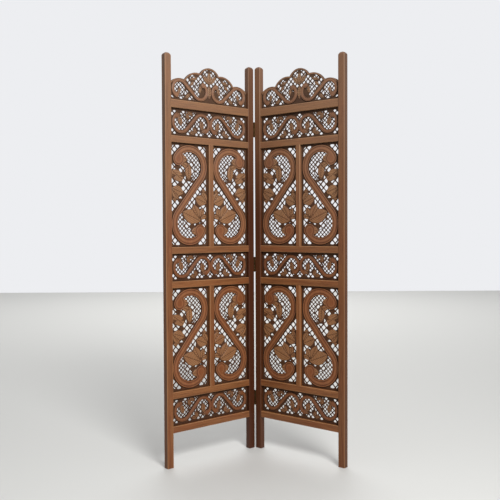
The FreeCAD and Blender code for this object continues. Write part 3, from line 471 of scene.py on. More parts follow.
@dataclass
class Timberwork:
    """Posts, rails and mullions of one leaf: square timber with hand-eased edges."""

    leaf: LeafFrame
    upright: bpy.types.Material
    lengthwise: bpy.types.Material
    tree: bpy.types.NodeTree
    edge_round: float = 3.2 * MM
    wander: float = 0.35 * MM
    ring_step: float = 12 * MM
    dome_margin: float = 0.5 * MM
    dome_rings: int = 14
    shoulder: float = 1 * MM
    # Painted shade on the outer side face of an outer post
    outer_side_painted_shade: float = 0.4

    # Painted shade on the posts, low down and high up: darkest on the hinge posts and lower down, and darker on
    # the right outer post than on the left
    OUTER_POST_PAINTED_SHADE = {Side.LEFT: (0.08, 0.08), Side.RIGHT: (0.34, 0.34)}
    HINGE_POST_PAINTED_SHADE = {Side.LEFT: (1.0, 0.6), Side.RIGHT: (0.9, 0.35)}
    RAILS = ("bottom_rail", "lower_sill_rail", "waist_bottom_rail", "waist_top_rail", "upper_head_rail",
             "crest_rail")
    MULLIONS = {"lower_mullion": ("lower_sill_rail", "waist_bottom_rail"),
                "upper_mullion": ("waist_top_rail", "upper_head_rail")}
    # What counts as the flat of a face, how far out a side lies, and how often the plane went in and out
    FLAT_SLACK = 0.1 * MM
    SIDE_SHARE = 0.49
    PLANING_PER_METRE = 9.0

    @classmethod
    def make_tree(cls) -> bpy.types.NodeTree:
        """Tree that sweeps a rounded section along a path, with a ball-shaped top where one is asked for.

        Returns:
            The tree. Its wear attribute, wear with a painted highlight, is 1 along the middle of each rounded
            edge.
        """
        tree, known = new_tree("eased_timber", {
            "Width": 30 * MM, "Depth": 30 * MM, "Edge Round": 2.4 * MM, "Wander": 0.3 * MM,
            "Ball Radius": 10.0, "Ball Top": 20.0, "Stained Side": 0.0, "Side Stain": 0.0, "Seed": 0.0})
        path = add_node(tree, "GeometryNodeMeshToCurve", {"Mesh": known["Geometry"]})[0]
        section = add_node(tree, "GeometryNodeCurvePrimitiveQuadrilateral",
                           {"Width": known["Width"], "Height": known["Depth"]})[0]
        eased = add_node(tree, "GeometryNodeFilletCurve",
                         {"Curve": section, "Radius": known["Edge Round"], "Count": 5}, mode="POLY")[0]
        shape = add_node(tree, "GeometryNodeCurveToMesh",
                         {"Curve": path, "Profile Curve": eased, "Fill Caps": True})[0]
        place = add_node(tree, "GeometryNodeInputPosition")[0]
        known["x"], known["y"], known["z"] = add_node(tree, "ShaderNodeSeparateXYZ", {0: place})
        flat_place = add_node(tree, "ShaderNodeCombineXYZ", {0: known["x"], 1: known["y"]})[0]
        known["spread"] = add_node(tree, "ShaderNodeVectorMath", {0: flat_place}, operation="LENGTH")["Value"]
        for axis, label in (("x", "Width"), ("y", "Depth")):
            add_steps(tree, known, (
                (f"{axis}_reach", "ABSOLUTE", axis),
                (f"{axis}_half", "MULTIPLY", label, 0.5),
                (f"{axis}_flat", "SUBTRACT", f"{axis}_half", "Edge Round"),
                (f"{axis}_past", "SUBTRACT", f"{axis}_reach", f"{axis}_flat")))
        add_steps(tree, known, (
            # An edge is where a point lies past the flats of both faces.
            ("past", "MINIMUM", "x_past", "y_past"),
            ("rounded", "GREATER_THAN", "past", -cls.FLAT_SLACK),
            # Wear and a painted highlight lighten the middle of each rounded edge.
            ("wear", "LINEAR", "past", 0, "Edge Round", 0, 1),
            # The outer side face of an outer post gets painted shade.
            ("outward", "MULTIPLY", "x", "Stained Side"),
            ("side", "MULTIPLY", "Width", cls.SIDE_SHARE),
            ("outer", "GREATER_THAN", "outward", "side"),
            ("recess", "MULTIPLY", "outer", "Side Stain"),
            # The ball: each ring above its centre is drawn in to the ball's radius at that height.
            ("centre", "SUBTRACT", "Ball Top", "Ball Radius"),
            ("above", "SUBTRACT", "z", "centre"),
            ("rise", "MAXIMUM", "above", 0),
            ("share", "DIVIDE", "rise", "Ball Radius"),
            ("angle", "ARCSINE", "share"),
            ("level", "COSINE", "angle"),
            ("ball", "MULTIPLY", "level", "Ball Radius"),
            ("fit", "DIVIDE", "ball", "spread"),
            ("draw", "MINIMUM", "fit", 1)))
        for name in ("wear", "recess"):
            shape = add_node(tree, "GeometryNodeStoreNamedAttribute",
                             {"Geometry": shape, "Name": name, "Value": known[name]},
                             data_type="FLOAT", domain="POINT")[0]
        shape = add_node(tree, "GeometryNodeSetShadeSmooth",
                         {"Geometry": shape, "Shade Smooth": known["rounded"]}, domain="FACE")[0]
        drawn = add_node(tree, "ShaderNodeCombineXYZ", {0: known["draw"], 1: known["draw"], 2: 1.0})[0]
        turned = add_node(tree, "ShaderNodeVectorMath", {0: place, 1: drawn}, operation="MULTIPLY")[0]
        shape = add_node(tree, "GeometryNodeSetPosition", {"Geometry": shape, "Position": turned})[0]
        # Hand planing leaves the faces a hair out of true.
        wave = add_node(tree, "ShaderNodeTexNoise", {
            "Vector": place, "W": known["Seed"], "Scale": cls.PLANING_PER_METRE, "Detail": 1.0},
            noise_dimensions="4D")["Color"]
        for operation, operand in (("SUBTRACT", {1: (0.5, 0.5, 0.5)}), ("MULTIPLY", {1: (1.0, 1.0, 0.0)}),
                                   ("SCALE", {"Scale": known["Wander"]})):
            wave = add_node(tree, "ShaderNodeVectorMath", {0: wave, **operand}, operation=operation)[0]
        shape = add_node(tree, "GeometryNodeSetPosition", {"Geometry": shape, "Offset": wave})[0]
        return end_tree(tree, shape, known["Material"])

    def stations(self, length: float, ball_radius: float | None) -> list[float]:
        """Places of the rings along a piece.

        Args:
            length: Length of the piece.
            ball_radius: Radius of its ball-shaped top, if it has one.

        Returns:
            Heights from the foot, closer together on the ball.
        """
        straight = length if ball_radius is None else length - ball_radius
        count = max(2, round(straight / self.ring_step))
        heights = [straight * index / count for index in range(count + 1)]
        if ball_radius is not None:
            turns = (math.pi / 2 * index / self.dome_rings for index in range(1, self.dome_rings))
            heights += [straight + ball_radius * math.sin(turn) for turn in turns]
        return heights

    def bar(self, piece: str, length: float, width: float, depth: float, matrix: Matrix, grain: Grain,
            ball_radius: float | None = None, stain: tuple[float, float] = (0.0, 0.0),
            painted_shade_side: int = 0) -> None:
        """Make one piece and put it in place of its CAD node.

        Args:
            piece: Name of the node without the leaf's own name.
            length: Visible length.
            width: Size along the piece's own X.
            depth: Size along the piece's own Y.
            matrix: Place of the piece, whose own Z runs along it, in the leaf's axes.
            grain: The way that its fibres run.
            ball_radius: Radius of a ball-shaped top.
            stain: How dark its stain and painted shade are, low down and high up.
            painted_shade_side: 1 or -1 where the side towards +X or -X gets painted shade.
        """
        node = f"{self.leaf.side.value}_{piece}"
        heights = self.stations(length, ball_radius)
        path = bpy.data.meshes.new(f"{node}_path")
        links = [(i, i + 1) for i in range(len(heights) - 1)]
        path.from_pydata([(0, 0, height) for height in heights], links, [])
        values = {"Width": width, "Depth": depth, "Edge Round": self.edge_round, "Wander": self.wander,
                  "Stained Side": float(painted_shade_side), "Side Stain": self.outer_side_painted_shade,
                  "Seed": piece_tone(node),
                  "Material": self.upright if grain is Grain.UPRIGHT else self.lengthwise}
        if ball_radius is not None:
            values |= {"Ball Radius": ball_radius, "Ball Top": length}
        mesh = grown(self.tree, path, f"{node}_wood", values)
        mesh.transform(self.leaf.matrix @ matrix)
        set_tone(mesh, piece_tone(node), *stain)
        show(mesh, node, self.leaf.side)

    def build(self) -> None:
        """Make every post, rail and mullion of the leaf."""
        faces = []
        outwards = 1 if self.leaf.side is Side.RIGHT else -1
        for post, painted_shades, painted_shade_side in (("hinge_post", self.HINGE_POST_PAINTED_SHADE, 0),
                                           ("outer_post", self.OUTER_POST_PAINTED_SHADE, outwards)):
            low, high = self.leaf.box(post)
            size, middle = high - low, (high + low) / 2
            ball = math.hypot(size.x, size.y) / 2 + self.dome_margin
            foot = Matrix.Translation((middle.x, middle.y, low.z))
            self.bar(post, size.z, size.x, size.y, foot, Grain.UPRIGHT, ball, painted_shades[self.leaf.side],
                     painted_shade_side)
            faces += [low.x, high.x]
        left, right = sorted(faces)[1:3]
        lying = Matrix.Rotation(math.pi / 2, 4, "Y")
        for rail in self.RAILS:
            low, high = self.leaf.box(rail)
            size, middle = high - low, (high + low) / 2
            start = Matrix.Translation((left - self.shoulder, middle.y, middle.z))
            self.bar(rail, right - left + 2 * self.shoulder, size.z, size.y, start @ lying, Grain.LENGTHWISE)
        for mullion, (below, above) in self.MULLIONS.items():
            low, high = self.leaf.box(mullion)
            size, middle = high - low, (high + low) / 2
            foot = self.leaf.box(below)[1].z - self.shoulder
            head = self.leaf.box(above)[0].z + self.shoulder
            start = Matrix.Translation((middle.x, middle.y, foot))
            self.bar(mullion, head - foot, size.x, size.y, start, Grain.UPRIGHT)


@dataclass(frozen=True)
class Foliage:
    """A pointed leaf of the carving: its root from a loop's centre, the way it points and its size."""

    x_mm: float
    z_mm: float
    direction: float
    length_mm: float
    width_mm: float

    def mirrored(self) -> "Foliage":
        """The same leaf on the other side of the board's middle."""
        return Foliage(-self.x_mm, self.z_mm, 180 - self.direction, self.length_mm, self.width_mm)

    def half_turned(self) -> "Foliage":
        """The same leaf turned half round its loop's centre."""
        return Foliage(-self.x_mm, -self.z_mm, self.direction + 180, self.length_mm, self.width_mm)


TALL_UPPER_LEAVES = (
    Foliage(6, 16, 267, 76, 36), Foliage(56, 30, 172, 46, 36), Foliage(44, 16, 204, 50, 26),
    Foliage(96, -18, 216, 80, 48), Foliage(96, -40, 184, 62, 34), Foliage(96, -98, 198, 68, 46),
    Foliage(96, -104, 230, 58, 28), Foliage(96, -152, 172, 30, 16))
TALL_LOWER_LEAVES = (
    Foliage(-56, -30, 352, 46, 36), Foliage(-62, 12, 22, 108, 64), Foliage(-56, 20, 62, 76, 40),
    Foliage(-60, 16, 104, 58, 30), Foliage(-96, 34, 352, 46, 28), Foliage(-96, 92, 22, 68, 48),
    Foliage(-96, 102, 60, 50, 28), Foliage(-96, 152, 352, 30, 16))
FRIEZE_LEAVES = (
    Foliage(-8, 30, 284, 48, 24), Foliage(-28, 26, 20, 30, 18), Foliage(28, 46, 300, 34, 18),
    Foliage(36, 48, 340, 34, 16))
CREST_LEAVES = (Foliage(-6, 26, 284, 38, 16), Foliage(-24, 22, 20, 22, 12), Foliage(30, 40, 320, 34, 15))
CREST_FAN = (
    Foliage(0, 84, 90, 62, 24), Foliage(3, 90, 48, 52, 20), Foliage(-3, 90, 132, 52, 20),
    Foliage(64, 110, 345, 48, 13), Foliage(-64, 110, 195, 48, 13), Foliage(0, 20, 90, 66, 20))

Placed = tuple[tuple[float, float], Foliage]


def tall_foliage() -> list[Placed]:
    """Leaves of a tall board, each with its loop's centre."""
    upper = [((0.0, TALL_LOOP), leaf) for leaf in TALL_UPPER_LEAVES]
    return upper + [((0.0, -TALL_LOOP), leaf) for leaf in TALL_LOWER_LEAVES]


def lying_foliage(outer: float, inner: float, rise: float, leaves: tuple[Foliage, ...],
                  standing: bool) -> list[Placed]:
    """Leaves of two lying scrolls that mirror each other.

    Args:
        outer: Middle of the board to the outer loop centres.
        inner: Middle of the board to the inner loop centres.
        rise: Height of the loop centres.
        leaves: Leaves of the left outer loop.
        standing: Whether the crossings fall towards the middle of the board.

    Returns:
        Each leaf with its loop's centre.
    """
    placed = []
    for half in (-1, 1):
        for leaf in leaves:
            upright = leaf if half < 0 else leaf.mirrored()
            first, second = upright, upright.half_turned()
            if not standing:
                first, second = upright.half_turned().mirrored(), upright.mirrored()
            placed += [((half * outer, rise), first), ((half * inner, rise), second)]
    return placed


@dataclass
class CarvedBoard:
    """One kind of pierced and carved board, drawn flat about its middle, in X and Z, from a CAD node."""

    leaf: LeafFrame
    node: str
    foliage: list[Placed]
    origin_rise: float
    band_half: float
    tree: bpy.types.NodeTree
    open_top: bool = False
    ease: float = 0.75 * MM
    fine_growth: float = 1.1
    coarse_growth: float = 1.03
    coarse_from: float = 9 * MM
    corner_share: float = 0.16
    hand_growth: float = 0.06
    hand_shift: float = 0.35 * MM
    hand_turn: float = math.radians(5)
    hand_seed: int = 11
    foot_gap: float = 0.3 * MM
    grid_step: float = 2.1 * MM
    band_step: float = 2.3 * MM
    band_stations: tuple[float, ...] = (0.07, 0.18, 0.29, 0.38, 0.47, 0.58, 0.75, 0.92, 1.15, 1.4, 1.65)
    sink: float = 2.6 * MM
    leaf_rise: float = 2.9 * MM
    seat: float = GROOVE_DEPTH
    lobe_rim: float = 7.5 * MM
    relief: float = 1.6 * MM
    # How the CAD node is read: points and levels nearer than this are one, and walls stand this upright
    snap_mm: float = 0.01
    level_mm: float = 0.1
    level_slack: float = 0.05 * MM
    upright_share: float = 0.1
    # How the sheet's points lie: rounding of a band's outline, gaps in its rows, room round the grid
    band_corner_share: float = 0.25
    row_slack: float = 0.1 * MM
    row_gap: float = 0.9 * MM
    grid_clear: float = 0.5
    meet_gap: float = 1e-7
    # Where the open scalloped edge begins: in from the sides, and as a share of the lower half
    lobe_inset: float = 6.5 * MM
    lobe_from: float = 0.5

    # Half a scroll band from its edge to its middle: a rim, a groove and a broad crown
    BAND_SECTION = ((0.0, 0.2), (0.07, 0.85), (0.18, 1.0), (0.29, 0.8), (0.38, 0.2), (0.47, 0.2), (0.58, 0.7),
                    (0.75, 0.95), (1.0, 0.95))
    WELD = 0.002 * MM
    SHARP_FROM = math.radians(62)

    @classmethod
    def make_tree(cls) -> bpy.types.NodeTree:
        """Tree that carves a flat pierced sheet on both faces and gives it its thickness.

        Returns:
            The tree. Its recess attribute, stain with painted shade, is high in the hollows, and its wear
            attribute, wear with a painted highlight, on the crowns of the carving.
        """
        tree, known = new_tree("carved_board", {
            "Thickness": 9 * MM, "Sink": 1 * MM, "Relief": 1.6 * MM, "Edge Ease": 0.7 * MM,
            "Band Half Width": 15.5 * MM, "Leaf Rise": 2.5 * MM, "Rib Depth": 1.5 * MM,
            "Vein Depth": 1.2 * MM, "Vein Pitch": 10.5 * MM, "Seat": 6 * MM, "Lobe Rim": 7.5 * MM})
        for name in ("band_edge", "in_band", "leaf_depth", "leaf_along", "leaf_across", "seat_gap",
                     "lobe_gap"):
            known[name] = add_node(tree, "GeometryNodeInputNamedAttribute", {"Name": name},
                                   data_type="BOOLEAN" if name == "band_edge" else "FLOAT")[0]
        faces = add_node(tree, "GeometryNodeInputMeshEdgeNeighbors")[0]
        border = add_node(tree, "FunctionNodeCompare", {2: faces, 3: 1}, data_type="INT",
                          operation="EQUAL")[0]
        sheet = known["Geometry"]
        for name, chosen in (("rim_gap", border), ("band_gap", known["band_edge"])):
            edges = add_node(tree, "GeometryNodeSeparateGeometry", {"Geometry": sheet, "Selection": chosen},
                             domain="EDGE")[0]
            known[name] = add_node(tree, "GeometryNodeProximity", {0: edges},
                                   target_element="EDGES")["Distance"]
        add_steps(tree, known, (("band_share", "DIVIDE", "band_gap", "Band Half Width"),))
        known["section"] = add_node(tree, "ShaderNodeFloatCurve", {"Value": known["band_share"]})[0]
        mapping = known["section"].node.mapping
        points = mapping.curves[0].points
        points[0].location, points[1].location = cls.BAND_SECTION[0], cls.BAND_SECTION[-1]
        for spot in cls.BAND_SECTION[1:-1]:
            points.new(*spot)
        mapping.update()
        add_steps(tree, known, (
            ("band", "MULTIPLY", "section", "Relief"),
            # A leaf rises from the sunken ground, with a rib and veins cut into it.
            ("inside", "SMOOTHSTEP", "leaf_depth", 0, 2.2 * MM, 0, 1),
            ("aside", "ABSOLUTE", "leaf_across"),
            ("slant", "SUBTRACT", "leaf_along", "aside"),
            ("phase", "DIVIDE", "slant", "Vein Pitch"),
            ("turn", "MULTIPLY", "phase", 2 * math.pi),
            ("wave", "COSINE", "turn"),
            ("ripple", "MAXIMUM", "wave", 0),
            ("furrow", "MULTIPLY", "ripple", "ripple"),
            ("vein", "MULTIPLY", "furrow", "Vein Depth"),
            ("near_rib", "SMOOTHSTEP", "aside", 0, 2.4 * MM, 1, 0),
            ("rib", "MULTIPLY", "near_rib", "Rib Depth"),
            ("cut", "MAXIMUM", "vein", "rib"),
            ("blade", "SUBTRACT", "Leaf Rise", "cut"),
            ("leaf", "MULTIPLY", "blade", "inside"),
            ("ground", "SUBTRACT", "leaf", "Sink"),
            # The scalloped edge keeps a plain raised rim.
            ("outside", "SUBTRACT", 1, "in_band"),
            ("past_rim", "SUBTRACT", "lobe_gap", "Lobe Rim"),
            ("near_lobe", "SMOOTHSTEP", "past_rim", -0.6 * MM, 0.9 * MM, 1, 0),
            ("rim", "MULTIPLY", "near_lobe", "outside"),
            ("rimmed", "LINEAR", "rim", 0, 1, "ground", 0.4 * MM),
            ("carved", "LINEAR", "in_band", 0, 1, "rimmed", "band"),
            ("drop", "SMOOTHSTEP", "rim_gap", 0, "Edge Ease", "Edge Ease", 0),
            ("height", "SUBTRACT", "carved", "drop"),
            # Painted shade darkens the foot of a band, the open ground, the hole rims and the edges that sit in
            # the frame's grooves; stain and painted shade darken the groove and the veins.
            ("foot", "SMOOTHSTEP", "band_gap", 0, 2.6 * MM, 0.95, 0.7),
            ("off_leaf", "SUBTRACT", 1, "inside"),
            ("off_rim", "SUBTRACT", 1, "rim"),
            ("bare", "MULTIPLY", "off_leaf", "off_rim"),
            ("bare_foot", "MULTIPLY", "foot", "bare"),
            ("open_ground", "MULTIPLY", "bare_foot", "outside"),
            ("past_seat", "SUBTRACT", "seat_gap", "Seat"),
            ("seam", "SMOOTHSTEP", "past_seat", 0, 7 * MM, 1, 0),
            ("on_leaf", "MULTIPLY", "inside", "outside"),
            ("cut_share", "DIVIDE", "cut", "Rib Depth"),
            ("veined", "MULTIPLY", "cut_share", "on_leaf"),
            ("vein_stain", "MULTIPLY", "veined", 0.7),
            ("low_section", "SMOOTHSTEP", "section", 0.2, 0.8, 0.6, 0),
            ("groove", "MULTIPLY", "low_section", "in_band"),
            ("recess", "SMOOTHSTEP", "rim_gap", 0, "Edge Ease", 0.75, 0),
            *(("recess", "MAXIMUM", "recess", other)
              for other in ("open_ground", "vein_stain", "groove", "seam")),
            # Rubbing and a painted highlight lighten the crowns of the bands and the flanks of the leaves.
            ("crown_from", "MULTIPLY", "Relief", 0.93),
            ("crown", "SMOOTHSTEP", "height", "crown_from", "Relief", 0, 0.5),
            ("flank", "LINEAR", "cut_share", 0, 1, 0.42, 0),
            ("rubbed_leaf", "MULTIPLY", "flank", "on_leaf"),
            ("wear", "MAXIMUM", "crown", "rubbed_leaf"),
            ("ruddy", "MULTIPLY", "in_band", 0.34)))
        for name in ("height", "recess", "wear", "ruddy"):
            sheet = add_node(tree, "GeometryNodeStoreNamedAttribute",
                             {"Geometry": sheet, "Name": name, "Value": known[name]},
                             data_type="FLOAT", domain="POINT")[0]
        back_way = add_node(tree, "ShaderNodeCombineXYZ", {1: known["Thickness"]})[0]
        drawn = add_node(tree, "GeometryNodeExtrudeMesh", {
            "Mesh": sheet, "Offset": back_way, "Offset Scale": 1.0, "Individual": False}, mode="FACES")[0]
        back = add_node(tree, "GeometryNodeFlipFaces", {0: drawn})[0]
        both = add_node(tree, "GeometryNodeJoinGeometry", {0: [sheet, back]})[0]
        shape = add_node(tree, "GeometryNodeMergeByDistance", {"Geometry": both, "Distance": cls.WELD})[0]
        place = add_node(tree, "GeometryNodeInputPosition")[0]
        known["level"] = add_node(tree, "ShaderNodeSeparateXYZ", {0: place})[1]
        known["stored"] = add_node(tree, "GeometryNodeInputNamedAttribute", {"Name": "height"},
                                   data_type="FLOAT")[0]
        add_steps(tree, known, (
            ("half", "MULTIPLY", "Thickness", 0.5),
            ("from_middle", "SUBTRACT", "level", "half"),
            ("way", "SIGN", "from_middle"),
            ("outward", "MULTIPLY", "stored", "way"),
            ("shift", "SUBTRACT", "outward", "half")))
        offset = add_node(tree, "ShaderNodeCombineXYZ", {1: known["shift"]})[0]
        shape = add_node(tree, "GeometryNodeSetPosition", {"Geometry": shape, "Offset": offset})[0]
        shape = add_node(tree, "GeometryNodeSetShadeSmooth", {"Geometry": shape, "Shade Smooth": True})[0]
        bend = add_node(tree, "GeometryNodeInputMeshEdgeAngle")[0]
        sharp = add_node(tree, "FunctionNodeCompare", {0: bend, 1: cls.SHARP_FROM}, data_type="FLOAT",
                         operation="GREATER_THAN")[0]
        shape = add_node(tree, "GeometryNodeSetShadeSmooth", {
            "Geometry": shape, "Selection": sharp, "Shade Smooth": False}, domain="EDGE")[0]
        return end_tree(tree, shape, known["Material"])

    def read_loops(self) -> tuple[list[np.ndarray], list[np.ndarray], float]:
        """Read the rims of the board and the outlines of its raised bands from the CAD node.

        Returns:
            Closed runs of X and Z round the board and its holes, the same round the bands, and the thickness.
        """
        points = self.leaf.points(self.node)
        points -= (points.min(0) + points.max(0)) / 2
        mesh = frame["nodes"][self.node].data
        mesh.calc_loop_triangles()
        corners = np.empty(len(mesh.loop_triangles) * 3, np.int32)
        mesh.loop_triangles.foreach_get("vertices", corners)
        grid = np.round(points / (self.snap_mm * MM)).astype(np.int64)
        merged, index = np.unique(grid, axis=0, return_inverse=True)
        merged = merged * self.snap_mm * MM
        corners = index.reshape(-1)[corners].reshape(-1, 3)
        levels = np.unique(np.round(merged[:, 1] / (self.level_mm * MM))) * self.level_mm * MM
        crown, face = levels[0], levels[1]
        spots = merged[corners]
        normals = np.cross(spots[:, 1] - spots[:, 0], spots[:, 2] - spots[:, 0])
        upright = np.abs(normals[:, 1]) < self.upright_share * np.linalg.norm(normals, axis=1)
        runs = []
        for level in (face, crown):
            edges = []
            for first, second, third in ((0, 1, 2), (1, 2, 0), (2, 0, 1)):
                trio = spots[:, (first, second, third), 1]
                on_level = np.abs(trio[:, :2] - level).max(1) < self.level_slack
                chosen = upright & on_level & (trio[:, 2] > level + self.level_slack)
                edges += corners[chosen][:, (first, second)].tolist()
            runs.append([merged[run][:, (0, 2)] for run in chained(edges)])
        return runs[0], runs[1], float(-2 * face)

    def flat_sheet(self) -> tuple[bpy.types.Mesh, float]:
        """Draw the pierced board as a flat sheet of triangles, fine enough to carve.

        Returns:
            The sheet, with the attributes that the carving reads, and the board's thickness.
        """
        rims, bands, thickness = self.read_loops()
        rims.sort(key=lambda run: -float(np.prod(np.ptp(run, axis=0))))
        hand = np.random.default_rng(self.hand_seed)
        outline, holes = rims[0], [self.eased_hole(run, hand) for run in rims[1:]]
        for _ in range(2):
            bands = [cut_corners(run, self.band_corner_share) for run in bands]
        bands = [resampled(run, self.band_step) for run in bands]
        eased = [offset_run(hole, self.ease) for hole in holes]
        edge = resampled(outline, self.band_step)
        feet = [run - self.band_normals(run, bands) * self.foot_gap for run in bands]
        loops = [edge] + holes + eased + feet + bands
        points, edges, band_edges = [], [], set()
        for number, loop in enumerate(loops):
            start = sum(len(run) for run in points)
            ring = [(start + i, start + (i + 1) % len(loop)) for i in range(len(loop))]
            if number >= len(loops) - len(bands):
                band_edges |= set(range(len(edges), len(edges) + len(ring)))
            edges += ring
            points.append(loop)
        inner = self.band_points(bands)
        free = self.grid_points(edge, eased, bands)
        flat = np.concatenate(points + [inner, free])
        spots, lines, triangles, _, old_lines, _ = delaunay_2d_cdt(
            [Vector(spot) for spot in flat], edges, [], 0, self.meet_gap, True)
        middles = np.array(spots)[np.array(triangles)].mean(1)
        solid = inside_runs(middles, [edge]) & ~inside_runs(middles, holes)
        faces = [face for face, kept in zip(triangles, solid) if kept]
        mesh = bpy.data.meshes.new(f"{self.node}_sheet")
        used = sorted({corner for face in faces for corner in face})
        new = {old: number for number, old in enumerate(used)}
        xz = np.array([spots[old] for old in used])
        marked = {frozenset((new[a], new[b])) for (a, b), old in zip(lines, old_lines)
                  if a in new and b in new and band_edges & set(old)}
        renumbered = [[new[corner] for corner in face] for face in faces]
        mesh.from_pydata([(x, 0.0, z) for x, z in xz], [], renumbered)
        on_band = [frozenset(line.vertices) in marked for line in mesh.edges]
        mesh.attributes.new("band_edge", "BOOLEAN", "EDGE").data.foreach_set("value", on_band)
        depth, along, across = self.leaf_places(xz)
        seat_gap, lobe_gap = self.edge_gaps(xz, edge)
        in_band = inside_runs(xz, bands)
        in_band[[corner for line in marked for corner in line]] = True
        store(mesh, {"in_band": in_band, "leaf_depth": depth, "leaf_along": along, "leaf_across": across,
                     "seat_gap": seat_gap, "lobe_gap": lobe_gap})
        return mesh, thickness

    def eased_hole(self, run: np.ndarray, hand: np.random.Generator) -> np.ndarray:
        """Cut the corners of a hole and open it a little, as a file does, a hair out of true.

        Args:
            run: Corners of the hole.
            hand: What the carver's hand adds by chance.

        Returns:
            Points round the finished hole.
        """
        middle = run.mean(0)
        growth = self.coarse_growth if np.ptp(run, axis=0).max() > self.coarse_from else self.fine_growth
        growth *= 1 - self.hand_growth * hand.random()
        turn = self.hand_turn * hand.uniform(-1, 1)
        cosine, sine = math.cos(turn), math.sin(turn)
        turned = (run - middle) @ np.array([[cosine, sine], [-sine, cosine]])
        shift = self.hand_shift * hand.uniform(-1, 1, 2)
        return cut_corners(middle + shift + turned * growth, self.corner_share)

    def band_normals(self, run: np.ndarray, bands: list[np.ndarray]) -> np.ndarray:
        """Unit normals at the points of a band's outline, into the band."""
        normals = run_normals(run)
        return normals if inside_runs(run[:1] + normals[:1] * self.foot_gap, bands)[0] else -normals

    def band_points(self, bands: list[np.ndarray]) -> np.ndarray:
        """Lay points inside the scroll bands, in rows beside their edges.

        Args:
            bands: Outlines of the bands.

        Returns:
            The points, thinned where rows meet.
        """
        found = []
        for run in bands:
            normals = self.band_normals(run, bands)
            for share in self.band_stations:
                gap = share * self.band_half
                row = run + normals * gap
                row = row[inside_runs(row, bands)]
                found.append(row[distance_to_runs(row, bands) > gap - self.row_slack])
        return thinned(np.concatenate(found), self.row_gap)

    def grid_points(self, edge: np.ndarray, eased: list[np.ndarray], bands: list[np.ndarray]) -> np.ndarray:
        """Lay an even grid over the ground of the board.

        Args:
            edge: Outline of the board.
            eased: Outlines of its holes with their eased rims.
            bands: Outlines of its bands.

        Returns:
            Points of the grid that are clear of all of these.
        """
        low, high = edge.min(0), edge.max(0)
        rows = np.arange(low[1], high[1], self.grid_step * math.sqrt(3) / 2)
        columns = np.arange(low[0], high[0], self.grid_step)
        x, z = np.meshgrid(columns, rows)
        x[1::2] += self.grid_step / 2
        grid = np.stack([x.ravel(), z.ravel()], 1)
        grid = grid[inside_runs(grid, [edge])]
        grid = grid[~inside_runs(grid, bands)]
        clear = self.grid_clear * self.grid_step
        for hole in eased:
            near = np.all((grid > hole.min(0) - clear) & (grid < hole.max(0) + clear), 1)
            picked = np.flatnonzero(near)
            if len(picked):
                bad = inside_runs(grid[picked], [hole]) | (distance_to_runs(grid[picked], [hole]) < clear)
                grid = np.delete(grid, picked[bad], 0)
        return grid[distance_to_runs(grid, bands + [edge]) > clear]

    def edge_gaps(self, xz: np.ndarray, edge: np.ndarray) -> tuple[np.ndarray, np.ndarray]:
        """How far each point lies from the edges that stand in grooves, and from an open scalloped edge.

        Args:
            xz: Points of the sheet.
            edge: Outline of the board.

        Returns:
            The two distances in metres; the second is 1 m on a board without an open edge.
        """
        low, high = edge.min(0), edge.max(0)
        seat = np.minimum(high[0] - np.abs(xz[:, 0]), xz[:, 1] - low[1])
        if not self.open_top:
            return np.minimum(seat, high[1] - xz[:, 1]), np.ones(len(xz))
        inner = np.abs(edge[:, 0]) < high[0] - self.lobe_inset
        lobes = edge[inner & (edge[:, 1] > self.lobe_from * low[1])]
        return seat, distance_to_marks(xz, lobes)

    def leaf_places(self, xz: np.ndarray) -> tuple[np.ndarray, np.ndarray, np.ndarray]:
        """Where each point lies on the leaf that it is deepest inside of.

        Args:
            xz: Points of the sheet.

        Returns:
            Depth inside the leaf's edge, length from its root and signed distance from its rib, in metres.
        """
        depth, next_depth, along, across = (np.zeros(len(xz)) for _ in range(4))
        for (centre_x, centre_z), leaf in self.foliage:
            angle = math.radians(leaf.direction)
            way = np.array([math.cos(angle), math.sin(angle)])
            root = np.array([centre_x + leaf.x_mm * MM, centre_z + self.origin_rise + leaf.z_mm * MM])
            arm = xz - root
            length = leaf.length_mm * MM
            u, v = arm @ way, arm @ np.array([-way[1], way[0]])
            half = leaf.width_mm * MM / 2 * np.clip(1 - (2 * u / length - 1) ** 2, 0, None)
            gap = half - np.abs(v)
            deeper = gap > depth
            next_depth = np.where(deeper, depth, np.maximum(next_depth, gap))
            depth[deeper], along[deeper], across[deeper] = gap[deeper], u[deeper], v[deeper]
        # Where two leaves overlap, a crease parts them.
        return np.where(next_depth > 0, (depth - next_depth) / 2, depth), along, across

    def build(self, material: bpy.types.Material) -> bpy.types.Mesh:
        """Carve the board.

        Args:
            material: Its timber.

        Returns:
            A finished mesh in the board's own axes.
        """
        sheet, thickness = self.flat_sheet()
        return grown(self.tree, sheet, f"{self.node}_carved", {
            "Thickness": thickness, "Sink": self.sink, "Relief": self.relief, "Edge Ease": self.ease,
            "Band Half Width": self.band_half, "Leaf Rise": self.leaf_rise, "Seat": self.seat,
            "Lobe Rim": self.lobe_rim, "Material": material})


def chained(edges: list[list[int]]) -> list[list[int]]:
    """Join edges end to end.

    Args:
        edges: Pairs of point numbers, in any order.

    Returns:
        Closed runs of point numbers.
    """
    neighbours: dict[int, list[int]] = {}
    for first, second in edges:
        neighbours.setdefault(first, []).append(second)
        neighbours.setdefault(second, []).append(first)
    runs, seen = [], set()
    for start in neighbours:
        run, spot = [], start
        while spot is not None and spot not in seen:
            seen.add(spot)
            run.append(spot)
            spot = next((other for other in neighbours[spot] if other not in seen), None)
        if len(run) > 2:
            runs.append(run)
    return runs


def cut_corners(run: np.ndarray, share: float) -> np.ndarray:
    """Cut every corner of a closed run.

    Args:
        run: Points of the run.
        share: Share of each side that is cut off at either end.

    Returns:
        Two points for each side.
    """
    following = np.roll(run, -1, 0)
    near = (1 - share) * run + share * following
    far = share * run + (1 - share) * following
    return np.stack([near, far], 1).reshape(-1, 2)


